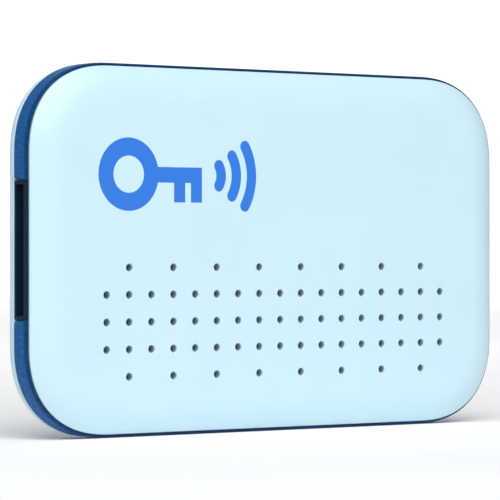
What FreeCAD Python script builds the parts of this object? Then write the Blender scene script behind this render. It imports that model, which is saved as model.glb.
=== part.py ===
"""Bluetooth tracker tag: a rounded, pillow-shaped finder tag for keys, run by one coin cell.

Millimetres. +X runs along the long side, to the right as the front face is read, +Z is up that face
and -Y is the way the front face looks. The origin is the centre of the whole tag. "Depth" below is
the distance behind the front face, so that y = depth - THICK / 2. "Inset" is the distance inwards
from the outline of the middle band, measured square to it.
"""
import FreeCAD, Part
import math
import os

V = FreeCAD.Vector

# ---------------------------------------------------------------- driving dimensions: the outside
WIDE, HIGH, THICK = 50.64, 31.2, 6.0
CORNER = 7.17                # plan radius of the band's corners
SLOT_HALF, SLOT_FLARE = 5.70, 0.22    # half height of the lanyard slot at its front, and its draft
PRESS = 0.30                 # how far the front cover is pressed in
CLEAR = 1.0                  # how far a cutting tool runs past what it cuts

# ---------------------------------------------------------------- front cover
COVER_IN = 0.27              # the cover's outline lies this far inside the band's
ROLL, DROP = 3.0, 1.1        # the rounded edge: its width across the face, and its fall
FRONT_WALL = 0.8
RIM_LAND = 0.25              # height of the cover's own vertical edge
SKIRT_IN, SKIRT_WALL, SKIRT_END = 1.15, 0.6, 1.75
SKIRT_GAP_HALF = SLOT_HALF + 0.75
HOLE_PITCH, HOLE_D = 2.27, 0.66
HOLE_COLUMNS, HOLE_DROP = 17, 6.0     # the pattern's middle row lies this far below the centre
HOLE_ROWS = (2, 1, 0, -1, -2)
MESH_MARGIN, MESH_THICK, MESH_CORNER = 1.2, 0.1, 1.0
HOOK_X, HOOK_WIDE, HOOK_END, HOOK_BARB, HOOK_CATCH = 12.0, 3.6, 2.7, 0.40, 2.35
NUB_D, NUB_END = 2.0, 1.40

# ---------------------------------------------------------------- middle band
LIP_WALL, LIP_TOP = 0.20, 1.2
BAND_LEDGE, BAND_BACK, BAND_WALL = 1.75, 3.06, 1.05
LIP_ROUND_END = 1.70         # depth at which the rounded shoulder has become the flat side
EDGE_CUT = 0.06              # small chamfer at the band's back edge

# ---------------------------------------------------------------- back cover
REAR_START, REAR_WALL, REAR_ROLL = 3.11, 0.90, 5.7
REAR_EDGE_IN, REAR_EDGE_DEEP = 0.12, 0.13     # the bright bevel along the rim
REAR_FIT = 0.95              # inset of the rim's inner wall
NOTCH_HALF, NOTCH_DEEP, NOTCH_HIGH = 3.5, 0.55, 0.45
RIB_X, RIB_WALL, RIB_LONG = (-16.0, -10.5, -5.0), 0.7, 20.0
PAD_D = 11.0
RELIEF_DEEP, RELIEF_HALF, RELIEF_HIGH = 0.06, 5.85, 2.0         # flat relief beside the lanyard slot

# ---------------------------------------------------------------- chassis
TRAY_IN = BAND_WALL + 0.03   # the tray's outline, a hair inside the band's inner wall
TONGUE_WALL, TONGUE_START, TONGUE_END = 0.8, 2.15, 4.0
TONGUE_LEAD, TONGUE_LEAD_START = 0.55, 3.4   # the sloping lead-in for the back cover
FLANGE_START, FLANGE_IN = 1.9, 3.4
POCKET_DEEP, POCKET_FLOOR, POCKET_BACK, POCKET_WALL = 4.0, 2.85, 3.50, 0.55
LINER_EDGE, LINER_BACK = 0.06, 3.08
BAR_WALL, BAR_START, BAR_END = 0.16, 1.22, 1.72      # the thin bar along the slot's front edge
CHEEK_WALL, CHEEK_START = 0.30, 1.78                 # the walls at the slot's two ends
PIN_D, PIN_X, PIN_START, PIN_END, PIN_CHAMFER = 1.6, -23.0, 1.70, 3.40, 0.15

# ---------------------------------------------------------------- coin cell, 20 mm by 3.2 mm
CELL_X, CELL_D, CELL_HIGH, CELL_START = 11.0, 20.0, 3.2, 1.75
CELL_CAP_D, CELL_MOUTH_D, CELL_SHEET = 17.4, 18.3, 0.25
CUP_GAP, CUP_WALL, CUP_END = 0.25, 0.55, 4.2
CAP_HIGH, CAN_CORNER, CAP_CORNER, CURL_IN = 0.9, 0.45, 0.3, 0.35

# ---------------------------------------------------------------- circuit board
BOARD_START, BOARD_THICK = 2.30, 0.60
BOARD_BACK = BOARD_START + BOARD_THICK
BOARD_LEFT, BOARD_RIGHT, BOARD_HALF, BOARD_CORNER = -20.6, 22.4, 13.2, 5.0
BOARD_WINDOW_D, BOARD_WAY_HALF = 22.0, 8.0
SCREWS = [(-18.0, 10.2), (-18.0, -10.2), (1.2, 11.2), (1.2, -11.2)]
SCREW_D, SCREW_HEAD_D, SCREW_HEAD, BOSS_D = 1.4, 2.4, 0.55, 3.2
SCREW_CORNER, CROSS_LONG, CROSS_WIDE, CROSS_DEEP = 0.2, 1.3, 0.3, 0.33
WEB_HALF = 0.9
# parts soldered to the board's back: centre x and z, width, height and how tall they stand
RADIO = (-12.4, 3.6, 5.0, 5.0, 0.85)
FLASH = (-3.4, 4.6, 3.0, 3.0, 0.95)
DRIVER = (-3.2, -4.0, 2.0, 2.0, 0.6)
MAIN_CRYSTAL = (-17.6, 4.4, 2.0, 1.6, 0.5)
CLOCK_CRYSTAL = (-12.4, -1.2, 3.2, 1.5, 0.8)
INDUCTOR = (-7.8, -4.2, 3.0, 3.0, 1.1)
INDUCTOR_CORNER = 0.5
LEG_WIDE, LEG_PITCH, LEG_SHEET, LEG_REACH, LEG_LIFT = 0.25, 0.65, 0.2, 0.6, 0.1
SMALL_LONG, SMALL_WIDE, CAPACITOR_TALL, RESISTOR_TALL = 1.0, 0.5, 0.5, 0.35
CAPACITOR_SPOTS = [(-8.6, 5.6), (-8.6, 4.4), (-8.6, 3.2), (-16.6, 1.4), (-14.9, -0.2), (-9.6, -0.2),
                   (-5.2, -7.2), (-3.4, -7.2), (-10.8, 7.2), (-5.4, -1.4)]
RESISTOR_SPOTS = [(-8.6, 2.0), (-16.6, 0.2), (-12.2, 7.2), (-1.6, -7.2), (-3.4, -1.4), (-1.4, 1.4)]
PAD_X, PAD_Z, PAD_STEP, PAD_COUNT, PAD_SPOT, PAD_TALL = -17.6, -6.2, 1.9, 5, 1.0, 0.04
ANTENNA_X, ANTENNA_MARGIN, ANTENNA_TURNS, ANTENNA_STEP = -14.6, 0.7, 5, 1.1
ANTENNA_REACH, ANTENNA_STRIP, ANTENNA_THICK, ANTENNA_FEED = 2.6, 0.5, 0.05, 1.6

# ---------------------------------------------------------------- buzzer and switch
BUZZ_X, BUZZ_Z, BUZZ_D, BUZZ_START = -9.3, -5.2, 14.0, 1.45
BUZZ_PLATE, BUZZ_CERAMIC, BUZZ_CERAMIC_D, BUZZ_RING = 0.20, 0.15, 9.6, 1.1
SWITCH_X, SWITCH_Z, SWITCH_W, SWITCH_H, SWITCH_START = -14.0, 6.2, 3.0, 2.6, 1.90
PLUNGER_D, PLUNGER_START = 1.4, 1.45
WELL_GAP, WELL_DEEP, ROOM_D = 0.1, 0.25, 2.0
LEAF_WIDE, LEAF_THICK = 0.8, 0.1
LEAF_SPOTS = (-2.0, 5.4)     # the two leaves' places, from the buzzer's centre

# ---------------------------------------------------------------- battery contacts
CONTACT_SHEET, NEGATIVE_HALF, POSITIVE_HALF = 0.15, 1.8, 2.4
NEGATIVE_TAB, NEGATIVE_STEP, NEGATIVE_END = -1.6, -0.2, CELL_X + 5.5
FINGER_ROOT, FINGER_TIP, FINGER_HALF, WINDOW_HALF = 4.0, 1.2, 0.8, 1.0


# ================================================================ helpers
def y_at(depth):
    """The y of a depth behind the front face."""
    return depth - THICK / 2


def at(inset, depth):
    """A profile point, in the plane x = 0, with the band's outline at z = 0."""
    return V(0, y_at(depth), -inset)


def line(a, b):
    return Part.LineSegment(at(*a), at(*b)).toShape()


def arc(a, middle, b):
    return Part.Arc(at(*a), at(*middle), at(*b)).toShape()


def quarter_ellipse(centre, across, deep):
    """The quarter of an ellipse from (centre - across) round to the deepest point over the centre."""
    c_in, c_depth = centre
    big, small = at(c_in - across, c_depth), at(c_in, c_depth + deep)
    if across < deep:
        big, small = small, big
    ellipse = Part.Ellipse(big, small, at(c_in, c_depth))
    first = ellipse.parameter(at(c_in - across, c_depth))
    last = ellipse.parameter(at(c_in, c_depth + deep))
    if abs(last - first) > math.pi:
        first, last = max(first, last), min(first, last) + 2 * math.pi
    return Part.ArcOfEllipse(ellipse, min(first, last), max(first, last)).toShape()


def polyline(points):
    return [line(a, b) for a, b in zip(points, points[1:])]


def face_of(edges):
    return Part.Face(Part.Wire(Part.__sortEdges__(edges)))


def one(shapes):
    """All the shapes as one solid, with split faces joined again."""
    first, rest = shapes[0], shapes[1:]
    return (first.multiFuse(rest) if rest else first).removeSplitter()


def around(profile):
    """The profile carried round the tag's rounded outline: four sides and four corners."""
    pieces = []
    for turn in range(4):
        along, out = (WIDE, HIGH) if turn % 2 == 0 else (HIGH, WIDE)
        half = along / 2 - CORNER
        start = profile.translated(V(-half, 0, out / 2))
        end = profile.translated(V(half, 0, out / 2))
        side = start.extrude(V(2 * half, 0, 0))
        bend = end.revolve(V(half, 0, out / 2 - CORNER), V(0, 1, 0), 90)
        for piece in (side, bend):
            piece.rotate(V(0, 0, 0), V(0, 1, 0), 90 * turn)
            pieces.append(piece)
    return one(pieces)


def slab(inset, start, end):
    """A plate of the tag's outline, drawn in by the inset, between two depths."""
    corners = [(inset, start), (CORNER, start), (CORNER, end), (inset, end), (inset, start)]
    return one([around(face_of(polyline(corners))), middle(start, end)])


def middle(start, end):
    """The block between the four corner centres."""
    return block(-WIDE / 2 + CORNER, WIDE / 2 - CORNER, -HIGH / 2 + CORNER, HIGH / 2 - CORNER, start, end)


def block(x0, x1, z0, z1, start, end):
    return Part.makeBox(x1 - x0, end - start, z1 - z0, V(x0, y_at(start), z0))


def brick(x, z, wide, high, start, end):
    return block(x - wide / 2, x + wide / 2, z - high / 2, z + high / 2, start, end)


def disc(x, z, diameter, start, end):
    return Part.makeCylinder(diameter / 2, end - start, V(x, y_at(start), z), V(0, 1, 0))


def ring(x, z, outer, inner, start, end):
    return disc(x, z, outer, start, end).cut(disc(x, z, inner, start, end))


def rounded_plate(x0, x1, z0, z1, radius, start, end):
    """A rectangular plate with its four corners, along y, rounded."""
    plate = block(x0, x1, z0, z1, start, end)
    upright = [e for e in plate.Edges if abs(abs(e.tangentAt(e.FirstParameter).y) - 1) < 1e-6]
    return plate.makeFillet(radius, upright)


def sound_hole_centres():
    """Three full rows of holes, with a row of every other hole above and below them."""
    mid = (HOLE_COLUMNS - 1) / 2
    centres = []
    for row in HOLE_ROWS:
        columns = range(HOLE_COLUMNS) if abs(row) < 2 else range(1, HOLE_COLUMNS, 2)
        centres += [((c - mid) * HOLE_PITCH, row * HOLE_PITCH - HOLE_DROP) for c in columns]
    return centres


# ================================================================ casings
def front_cover():
    roll_radius = (ROLL ** 2 + DROP ** 2) / (2 * DROP)
    inner_radius = roll_radius - FRONT_WALL
    flat_in = COVER_IN + ROLL

    def on_arc(radius, inset):
        """Depth of a circle about the roll's centre, at an inset."""
        return roll_radius - math.sqrt(radius ** 2 - (flat_in - inset) ** 2)

    skirt_inner = SKIRT_IN + SKIRT_WALL
    half_way = COVER_IN + ROLL / 2
    inner_half_way = (skirt_inner + flat_in) / 2
    rim_under = DROP + RIM_LAND
    edges = [
        arc((COVER_IN, DROP), (half_way, on_arc(roll_radius, half_way)), (flat_in, 0)),
        *polyline([(flat_in, 0), (CORNER, 0), (CORNER, FRONT_WALL), (flat_in, FRONT_WALL)]),
        arc((flat_in, FRONT_WALL), (inner_half_way, on_arc(inner_radius, inner_half_way)),
            (skirt_inner, on_arc(inner_radius, skirt_inner))),
        *polyline([(skirt_inner, on_arc(inner_radius, skirt_inner)), (skirt_inner, SKIRT_END),
                   (SKIRT_IN, SKIRT_END), (SKIRT_IN, rim_under), (COVER_IN, rim_under),
                   (COVER_IN, DROP)]),
    ]
    shell = one([around(face_of(edges)), middle(0, FRONT_WALL)])

    # the skirt stops on either side of the lanyard slot, so that a cord can pass under the rim
    left = -WIDE / 2
    shell = shell.cut(block(left, left + ROLL, -SKIRT_GAP_HALF, SKIRT_GAP_HALF,
                            rim_under, SKIRT_END + CLEAR))

    hooks = []
    for x in (-HOOK_X, HOOK_X):
        for side in (-1, 1):
            outer = side * (HIGH / 2 - SKIRT_IN)
            inner = side * (HIGH / 2 - skirt_inner)
            tip = side * (HIGH / 2 - skirt_inner - HOOK_BARB)
            arm = block(x - HOOK_WIDE / 2, x + HOOK_WIDE / 2, min(outer, inner), max(outer, inner),
                        rim_under, HOOK_END)
            barb = block(x - HOOK_WIDE / 2, x + HOOK_WIDE / 2, min(outer, tip), max(outer, tip),
                         HOOK_CATCH, HOOK_END)
            hooks += [arm, barb]
    nub = disc(SWITCH_X, SWITCH_Z, NUB_D, FRONT_WALL, NUB_END)
    shell = one([shell, nub] + hooks)
    drills = Part.Compound([disc(x, z, HOLE_D, -CLEAR, FRONT_WALL + CLEAR) for x, z in sound_hole_centres()])
    return shell.cut(drills)


def speaker_mesh():
    wide = HOLE_PITCH * (HOLE_COLUMNS - 1) / 2 + MESH_MARGIN
    high = HOLE_PITCH * max(HOLE_ROWS) + MESH_MARGIN
    return rounded_plate(-wide, wide, -HOLE_DROP - high, -HOLE_DROP + high, MESH_CORNER,
                         FRONT_WALL, FRONT_WALL + MESH_THICK)


def mid_frame():
    """The band round the tag's side, open at the lanyard slot."""
    shoulder_mid = (LIP_WALL * 0.20, LIP_TOP + (LIP_ROUND_END - LIP_TOP) * 0.36)
    edges = [
        arc((LIP_WALL, LIP_TOP), shoulder_mid, (0, LIP_ROUND_END)),
        *polyline([(0, LIP_ROUND_END), (0, BAND_BACK - EDGE_CUT), (EDGE_CUT, BAND_BACK),
                   (BAND_WALL, BAND_BACK), (BAND_WALL, BAND_LEDGE), (LIP_WALL, BAND_LEDGE),
                   (LIP_WALL, LIP_TOP)]),
    ]
    band = around(face_of(edges))
    left = -WIDE / 2 - CLEAR
    wide_end = SLOT_HALF + SLOT_FLARE
    corners = [V(left, y_at(LIP_TOP), SLOT_HALF), V(left, y_at(BAND_BACK), wide_end),
               V(left, y_at(BAND_BACK), -wide_end), V(left, y_at(LIP_TOP), -SLOT_HALF)]
    slot = Part.Face(Part.makePolygon(corners + corners[:1])).extrude(V(BAND_WALL + 2 * CLEAR, 0, 0))
    return band.cut(slot)


def back_cover():
    start = REAR_START + REAR_EDGE_DEEP
    inner_end = THICK - REAR_WALL
    edges = [
        quarter_ellipse((REAR_ROLL, start), REAR_ROLL, THICK - start),
        *polyline([(REAR_ROLL, THICK), (CORNER, THICK), (CORNER, inner_end), (REAR_ROLL, inner_end)]),
        quarter_ellipse((REAR_ROLL, start), REAR_ROLL - REAR_FIT, inner_end - start),
        *polyline([(REAR_FIT, start), (REAR_FIT, REAR_START), (REAR_EDGE_IN, REAR_START), (0, start)]),
    ]
    shell = one([around(face_of(edges)), middle(inner_end, THICK)])
    ribs = [brick(x, 0, RIB_WALL, RIB_LONG, inner_end - RIB_WALL, inner_end) for x in RIB_X]
    shell = one([shell] + ribs)
    right = WIDE / 2
    notch = block(right - NOTCH_DEEP, right + CLEAR, -NOTCH_HALF, NOTCH_HALF,
                  REAR_START - CLEAR, REAR_START + NOTCH_HIGH)
    relief = block(-right - CLEAR, -right + RELIEF_DEEP, -RELIEF_HALF, RELIEF_HALF,
                   REAR_START - CLEAR, REAR_START + RELIEF_HIGH)
    return shell.cut(notch).cut(relief)


def battery_pad():
    gap = 0.05
    return disc(CELL_X, 0, PAD_D, CELL_START + CELL_HIGH + gap, THICK - REAR_WALL)


# ================================================================ chassis and lanyard pin
def chassis():
    """The dark tray that the band, board, buzzer and cell sit in. It also lines the lanyard slot."""
    tongue_in = TRAY_IN + TONGUE_WALL
    edges = polyline([
        (TRAY_IN, TONGUE_START), (tongue_in, TONGUE_START), (tongue_in, FLANGE_START),
        (FLANGE_IN, FLANGE_START), (FLANGE_IN, BOARD_START), (tongue_in, BOARD_START),
        (tongue_in, TONGUE_END), (TRAY_IN + TONGUE_LEAD, TONGUE_END), (TRAY_IN, TONGUE_LEAD_START),
        (TRAY_IN, TONGUE_START)])
    frame = around(face_of(edges))

    cup_inner = CELL_D + 2 * CUP_GAP
    cup_outer = cup_inner + 2 * CUP_WALL
    ledge_start = FRONT_WALL + MESH_THICK + PRESS + 0.08     # just clear of the pressed cover
    cup = ring(CELL_X, 0, cup_outer, cup_inner, ledge_start, CUP_END)
    ledge = ring(CELL_X, 0, cup_inner + CUP_WALL, CELL_CAP_D + 1.6, ledge_start, CELL_START - 0.05)
    # arms that tie the cup to the frame above, below and to the right of the cell
    ties = [brick(CELL_X, side * 11.9, 6.0, 3.2, FLANGE_START, BOARD_START) for side in (-1, 1)]
    ties.append(brick(22.2, 0, 1.8, 6.0, FLANGE_START, 3.4))

    bosses = [disc(x, z, BOSS_D, ledge_start, BOARD_START) for x, z in SCREWS]
    webs = []
    for x, z in SCREWS:
        edge = math.copysign(HIGH / 2 - FLANGE_IN + 0.3, z)
        webs.append(block(x - WEB_HALF, x + WEB_HALF, min(z, edge), max(z, edge), FLANGE_START, BOARD_START))

    left = -WIDE / 2
    end = SLOT_HALF + POCKET_WALL
    pocket = block(left + TRAY_IN + 0.25, left + POCKET_DEEP + POCKET_WALL, -end, end,
                   FLANGE_START - 0.15, POCKET_BACK)
    half = SLOT_HALF - 0.02
    edge_in = left + LINER_EDGE
    lip = block(edge_in, left + TRAY_IN + 0.5, -half, half, POCKET_FLOOR, LINER_BACK)
    tray = one([frame, cup, ledge, pocket, lip] + ties + bosses + webs)
    # the flange and tongue stop short of the slot in front of the pocket floor
    tray = tray.cut(block(left - CLEAR, left + POCKET_DEEP, -SLOT_HALF, SLOT_HALF, 0, POCKET_FLOOR))

    # a thin frame lines the mouth of the slot: a bar along its front edge and a wall at either end
    frame_parts = [block(edge_in, edge_in + BAR_WALL, -half, half, BAR_START, BAR_END)]
    for side in (-1, 1):
        low, high = sorted((side * half, side * (half - CHEEK_WALL)))
        frame_parts.append(block(edge_in, edge_in + BAR_WALL, low, high, BAR_START, POCKET_FLOOR))
        frame_parts.append(block(edge_in, left + TRAY_IN + 0.5, low, high, CHEEK_START, POCKET_FLOOR))
    tray = one([tray] + frame_parts)
    cuts = [disc(x, z, SCREW_D - 0.2, 0, BOARD_START + CLEAR) for x, z in SCREWS]
    cuts.append(disc(PIN_X, 0, PIN_D, POCKET_FLOOR - 0.1, PIN_END))
    for x in (-HOOK_X, HOOK_X):
        for side in (-1, 1):
            z = side * (HIGH / 2 - TRAY_IN - TONGUE_WALL / 2)
            cuts.append(brick(x, z, HOOK_WIDE + 0.6, TONGUE_WALL + 0.04, 0, TONGUE_END + CLEAR))
    # gaps in the cup for the two contacts
    low_gap, top_gap = NEGATIVE_HALF + 1.2, POSITIVE_HALF + 1.0
    cuts.append(block(CELL_X - cup_outer / 2 - CLEAR, CELL_X - 6, -low_gap, low_gap, 0, CELL_START))
    cuts.append(block(CELL_X - top_gap, CELL_X + top_gap, CELL_D / 2 - 2, cup_outer / 2 + 0.6,
                      CELL_START + 0.2, CUP_END + CLEAR))
    return tray.cut(Part.Compound(cuts))


def lanyard_pin():
    pin = disc(PIN_X, 0, PIN_D, PIN_START, PIN_END)
    front = [e for e in pin.Edges if len(e.Vertexes) == 1 and abs(e.Vertexes[0].Y - y_at(PIN_START)) < 1e-6]
    return pin.makeChamfer(PIN_CHAMFER, front)


# ================================================================ coin cell
def battery_can():
    """The positive can: a flat-bottomed cup, open towards the front, with its rim curled in."""
    radius, end = CELL_D / 2, CELL_START + CELL_HIGH
    body = disc(CELL_X, 0, CELL_D, CELL_START + 0.1, end)
    rear = [e for e in body.Edges if len(e.Vertexes) == 1 and abs(e.Vertexes[0].Y - y_at(end)) < 1e-6]
    body = body.makeFillet(CAN_CORNER, rear)
    curl = Part.makeCone(radius - CURL_IN, radius, 0.2, V(CELL_X, y_at(CELL_START + 0.05), 0), V(0, 1, 0))
    hollow = disc(CELL_X, 0, CELL_D - 2 * CELL_SHEET, CELL_START + 0.45, end - CELL_SHEET)
    mouth = disc(CELL_X, 0, CELL_MOUTH_D, CELL_START - CLEAR, CELL_START + CLEAR)
    return one([body, curl]).cut(hollow).cut(mouth)


def battery_gasket():
    return ring(CELL_X, 0, CELL_MOUTH_D, CELL_CAP_D, CELL_START + 0.06, CELL_START + CAP_HIGH + 0.05)


def battery_cap():
    """The negative cap, slightly raised, closing the front of the can."""
    cap = disc(CELL_X, 0, CELL_CAP_D, CELL_START, CELL_START + CAP_HIGH)
    front = [e for e in cap.Edges if len(e.Vertexes) == 1 and abs(e.Vertexes[0].Y - y_at(CELL_START)) < 1e-6]
    cap = cap.makeFillet(CAP_CORNER, front)
    hollow = disc(CELL_X, 0, CELL_CAP_D - 2 * CELL_SHEET, CELL_START + CELL_SHEET, CELL_START + 2 * CLEAR)
    return cap.cut(hollow)


def battery_filling():
    """The cell's sealed filling, which gives it its weight."""
    step = CELL_START + CAP_HIGH + 0.05
    lower = disc(CELL_X, 0, CELL_CAP_D - 2 * CELL_SHEET, CELL_START + CELL_SHEET, step)
    upper = disc(CELL_X, 0, CELL_D - 2 * CELL_SHEET, step, CELL_START + CELL_HIGH - CELL_SHEET)
    return one([lower, upper])


# ================================================================ board and what is soldered to it
def circuit_board():
    sides = (BOARD_LEFT, BOARD_RIGHT, -BOARD_HALF, BOARD_HALF)
    board = rounded_plate(*sides, BOARD_CORNER, BOARD_START, BOARD_BACK)
    low, high = BOARD_START - CLEAR, BOARD_BACK + CLEAR
    window = disc(CELL_X, 0, BOARD_WINDOW_D, low, high)
    way_in = block(CELL_X, BOARD_RIGHT + CLEAR, -BOARD_WAY_HALF, BOARD_WAY_HALF, low, high)
    holes = [disc(x, z, SCREW_D + 0.2, low, high) for x, z in SCREWS]
    return board.cut(Part.Compound([window, way_in] + holes))


def antenna_trace():
    """A folded copper strip along the board's upper edge."""
    strip, step, top = ANTENNA_STRIP, ANTENNA_STEP, BOARD_HALF - ANTENNA_MARGIN
    low = top - ANTENNA_REACH
    start, end = BOARD_BACK, BOARD_BACK + ANTENNA_THICK
    pieces = [block(ANTENNA_X, ANTENNA_X + strip, low - ANTENNA_FEED, top, start, end)]
    for n in range(ANTENNA_TURNS * 2):
        x = ANTENNA_X + n * step
        pieces.append(block(x, x + strip, low, top, start, end))
        z = top - strip if n % 2 == 0 else low
        if n < ANTENNA_TURNS * 2 - 1:
            pieces.append(block(x, x + step + strip, z, z + strip, start, end))
    return one(pieces)


def on_back(x, z, wide, high, tall):
    return brick(x, z, wide, high, BOARD_BACK, BOARD_BACK + tall)


def radio_chip():
    return on_back(*RADIO)


def flash_chip():
    """A small eight-pin memory chip with its bent legs."""
    x, z, wide, high, tall = FLASH
    pieces = [brick(x, z, wide, high, BOARD_BACK + LEG_LIFT, BOARD_BACK + tall)]
    for side in (-1, 1):
        edge = x + side * wide / 2
        for row in (-1.5, -0.5, 0.5, 1.5):
            leg_z = z + row * LEG_PITCH
            foot = on_back(edge + side * LEG_REACH / 2, leg_z, LEG_REACH, LEG_WIDE, LEG_SHEET)
            root = on_back(edge + side * 0.02, leg_z, 0.14, LEG_WIDE, tall / 2)
            pieces += [foot, root]
    return one(pieces)


def driver_chip():
    return on_back(*DRIVER)


def main_crystal():
    return on_back(*MAIN_CRYSTAL)


def clock_crystal():
    return on_back(*CLOCK_CRYSTAL)


def boost_inductor():
    body = on_back(*INDUCTOR)
    upright = [e for e in body.Edges if abs(abs(e.tangentAt(e.FirstParameter).y) - 1) < 1e-6]
    return body.makeFillet(INDUCTOR_CORNER, upright)


def capacitors():
    return Part.Compound([on_back(x, z, SMALL_LONG, SMALL_WIDE, CAPACITOR_TALL) for x, z in CAPACITOR_SPOTS])


def resistors():
    return Part.Compound([on_back(x, z, SMALL_LONG, SMALL_WIDE, RESISTOR_TALL) for x, z in RESISTOR_SPOTS])


def test_pads():
    return Part.Compound([disc(PAD_X + n * PAD_STEP, PAD_Z, PAD_SPOT, BOARD_BACK, BOARD_BACK + PAD_TALL)
                          for n in range(PAD_COUNT)])


def board_screws():
    """Four self-tapping screws with cross recesses."""
    screws = []
    for x, z in SCREWS:
        head = disc(x, z, SCREW_HEAD_D, BOARD_BACK, BOARD_BACK + SCREW_HEAD)
        rim = [e for e in head.Edges
               if len(e.Vertexes) == 1 and abs(e.Vertexes[0].Y - y_at(BOARD_BACK + SCREW_HEAD)) < 1e-6]
        head = head.makeFillet(SCREW_CORNER, rim)
        shank = disc(x, z, SCREW_D - 0.2, FLANGE_START - 0.4, BOARD_BACK)
        floor = BOARD_BACK + SCREW_HEAD - CROSS_DEEP
        cross = [brick(x, z, a, b, floor, BOARD_BACK + CLEAR)
                 for a, b in ((CROSS_LONG, CROSS_WIDE), (CROSS_WIDE, CROSS_LONG))]
        screws.append(one([head, shank]).cut(Part.Compound(cross)))
    return Part.Compound(screws)


# ================================================================ switch
def switch_body():
    body = brick(SWITCH_X, SWITCH_Z, SWITCH_W, SWITCH_H, SWITCH_START, BOARD_START)
    well = disc(SWITCH_X, SWITCH_Z, PLUNGER_D + WELL_GAP, SWITCH_START - CLEAR, SWITCH_START + WELL_DEEP)
    room = disc(SWITCH_X, SWITCH_Z, ROOM_D, SWITCH_START + 0.1, BOARD_START - 0.05)
    return body.cut(well).cut(room)


def switch_plunger():
    return disc(SWITCH_X, SWITCH_Z, PLUNGER_D, PLUNGER_START, SWITCH_START + 0.03)


# ================================================================ buzzer
def buzzer_plate():
    return disc(BUZZ_X, BUZZ_Z, BUZZ_D, BUZZ_START, BUZZ_START + BUZZ_PLATE)


def buzzer_ceramic():
    start = BUZZ_START + BUZZ_PLATE
    return disc(BUZZ_X, BUZZ_Z, BUZZ_CERAMIC_D, start, start + BUZZ_CERAMIC)


def buzzer_ring():
    start = BUZZ_START + BUZZ_PLATE
    return ring(BUZZ_X, BUZZ_Z, BUZZ_D, BUZZ_D - 2 * BUZZ_RING, start, BOARD_START)


def buzzer_contacts():
    """Two bent leaves on the board: one under the ceramic, one under the plate's bare margin."""
    plate_back = BUZZ_START + BUZZ_PLATE
    leaves = []
    for shift, top in zip(LEAF_SPOTS, (plate_back + BUZZ_CERAMIC, plate_back)):
        x = BUZZ_X + shift
        foot = brick(x, BUZZ_Z, LEAF_WIDE, 1.0, BOARD_START - LEAF_THICK, BOARD_START)
        post = brick(x, BUZZ_Z + 0.4, LEAF_WIDE, 0.2, top, BOARD_START)
        head = brick(x, BUZZ_Z + 0.1, LEAF_WIDE, LEAF_WIDE, top, top + LEAF_THICK)
        leaves.append(one([foot, post, head]))
    return Part.Compound(leaves)


# ================================================================ battery contacts
def negative_contact():
    """A flat leaf in front of the cell, with two fingers that bear on its cap."""
    sheet, half = CONTACT_SHEET, NEGATIVE_HALF
    start = FRONT_WALL + MESH_THICK + PRESS + 0.10           # just clear of the pressed cover
    riser_x = NEGATIVE_STEP - sheet
    base = block(NEGATIVE_TAB, NEGATIVE_STEP, -half, half, BOARD_START - sheet, BOARD_START)
    riser = block(riser_x, NEGATIVE_STEP, -half, half, start, BOARD_START)
    leaf = block(riser_x, NEGATIVE_END, -half, half, start, start + sheet)
    window = block(CELL_X - FINGER_ROOT, CELL_X + FINGER_ROOT, -WINDOW_HALF, WINDOW_HALF,
                   start - CLEAR, start + CLEAR)
    fingers = []
    for way in (-1, 1):
        root, tip = CELL_X + way * FINGER_ROOT, CELL_X + way * FINGER_TIP
        touch = CELL_START - 0.01
        side = [V(root, y_at(start), -FINGER_HALF), V(root, y_at(start + sheet), -FINGER_HALF),
                V(tip, y_at(touch), -FINGER_HALF), V(tip, y_at(touch - sheet), -FINGER_HALF)]
        fingers.append(Part.Face(Part.makePolygon(side + side[:1])).extrude(V(0, 0, 2 * FINGER_HALF)))
    return one([base, riser, leaf.cut(window)] + fingers)


def positive_contact():
    """A leaf soldered above the cell that bears on the side of its can."""
    sheet, left, right = CONTACT_SHEET, CELL_X - POSITIVE_HALF, CELL_X + POSITIVE_HALF
    side = CELL_D / 2 + 0.01
    bridge = block(left, right, side, side + 2.6, BOARD_BACK, BOARD_BACK + sheet)
    leaf = block(left, right, side, side + sheet, BOARD_BACK, CELL_START + CELL_HIGH - 0.9)
    return one([bridge, leaf])


# ================================================================ writing the parts
PARTS = [
    front_cover, speaker_mesh, mid_frame, back_cover, battery_pad, chassis, lanyard_pin,
    battery_can, battery_gasket, battery_cap, battery_filling,
    circuit_board, antenna_trace, radio_chip, flash_chip, driver_chip, main_crystal, clock_crystal,
    boost_inductor, capacitors, resistors, test_pads, board_screws,
    switch_body, switch_plunger, buzzer_plate, buzzer_ceramic, buzzer_ring, buzzer_contacts,
    negative_contact, positive_contact,
]


def main():
    os.makedirs("parts", exist_ok=True)
    for make in PARTS:
        shape = make()
        print(f"{make.__name__:18s} solids {len(shape.Solids):2d}  faces {len(shape.Faces):4d}"
              f"  volume {shape.Volume:9.3f} mm3  valid {shape.isValid()}")
        shape.exportStep(f"parts/{make.__name__}.step")


main()
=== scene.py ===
"""Visual model of a rounded finder tag for keys: shells, printed mark, coin cell, board, switch and sounder.

Sizes are in millimetres unless a name says otherwise; meshes are in metres. +X runs to the right as the front
face is read, +Z is up that face, and -Y is the way the front looks. "Inset" is the distance inwards from the
outline of the side band and "depth" the distance behind the front face.
"""
import logging
import math
from collections.abc import Sequence
from dataclasses import dataclass
from enum import Enum
from typing import Any

import bmesh
import bpy
from mathutils import Matrix, Vector


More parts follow.
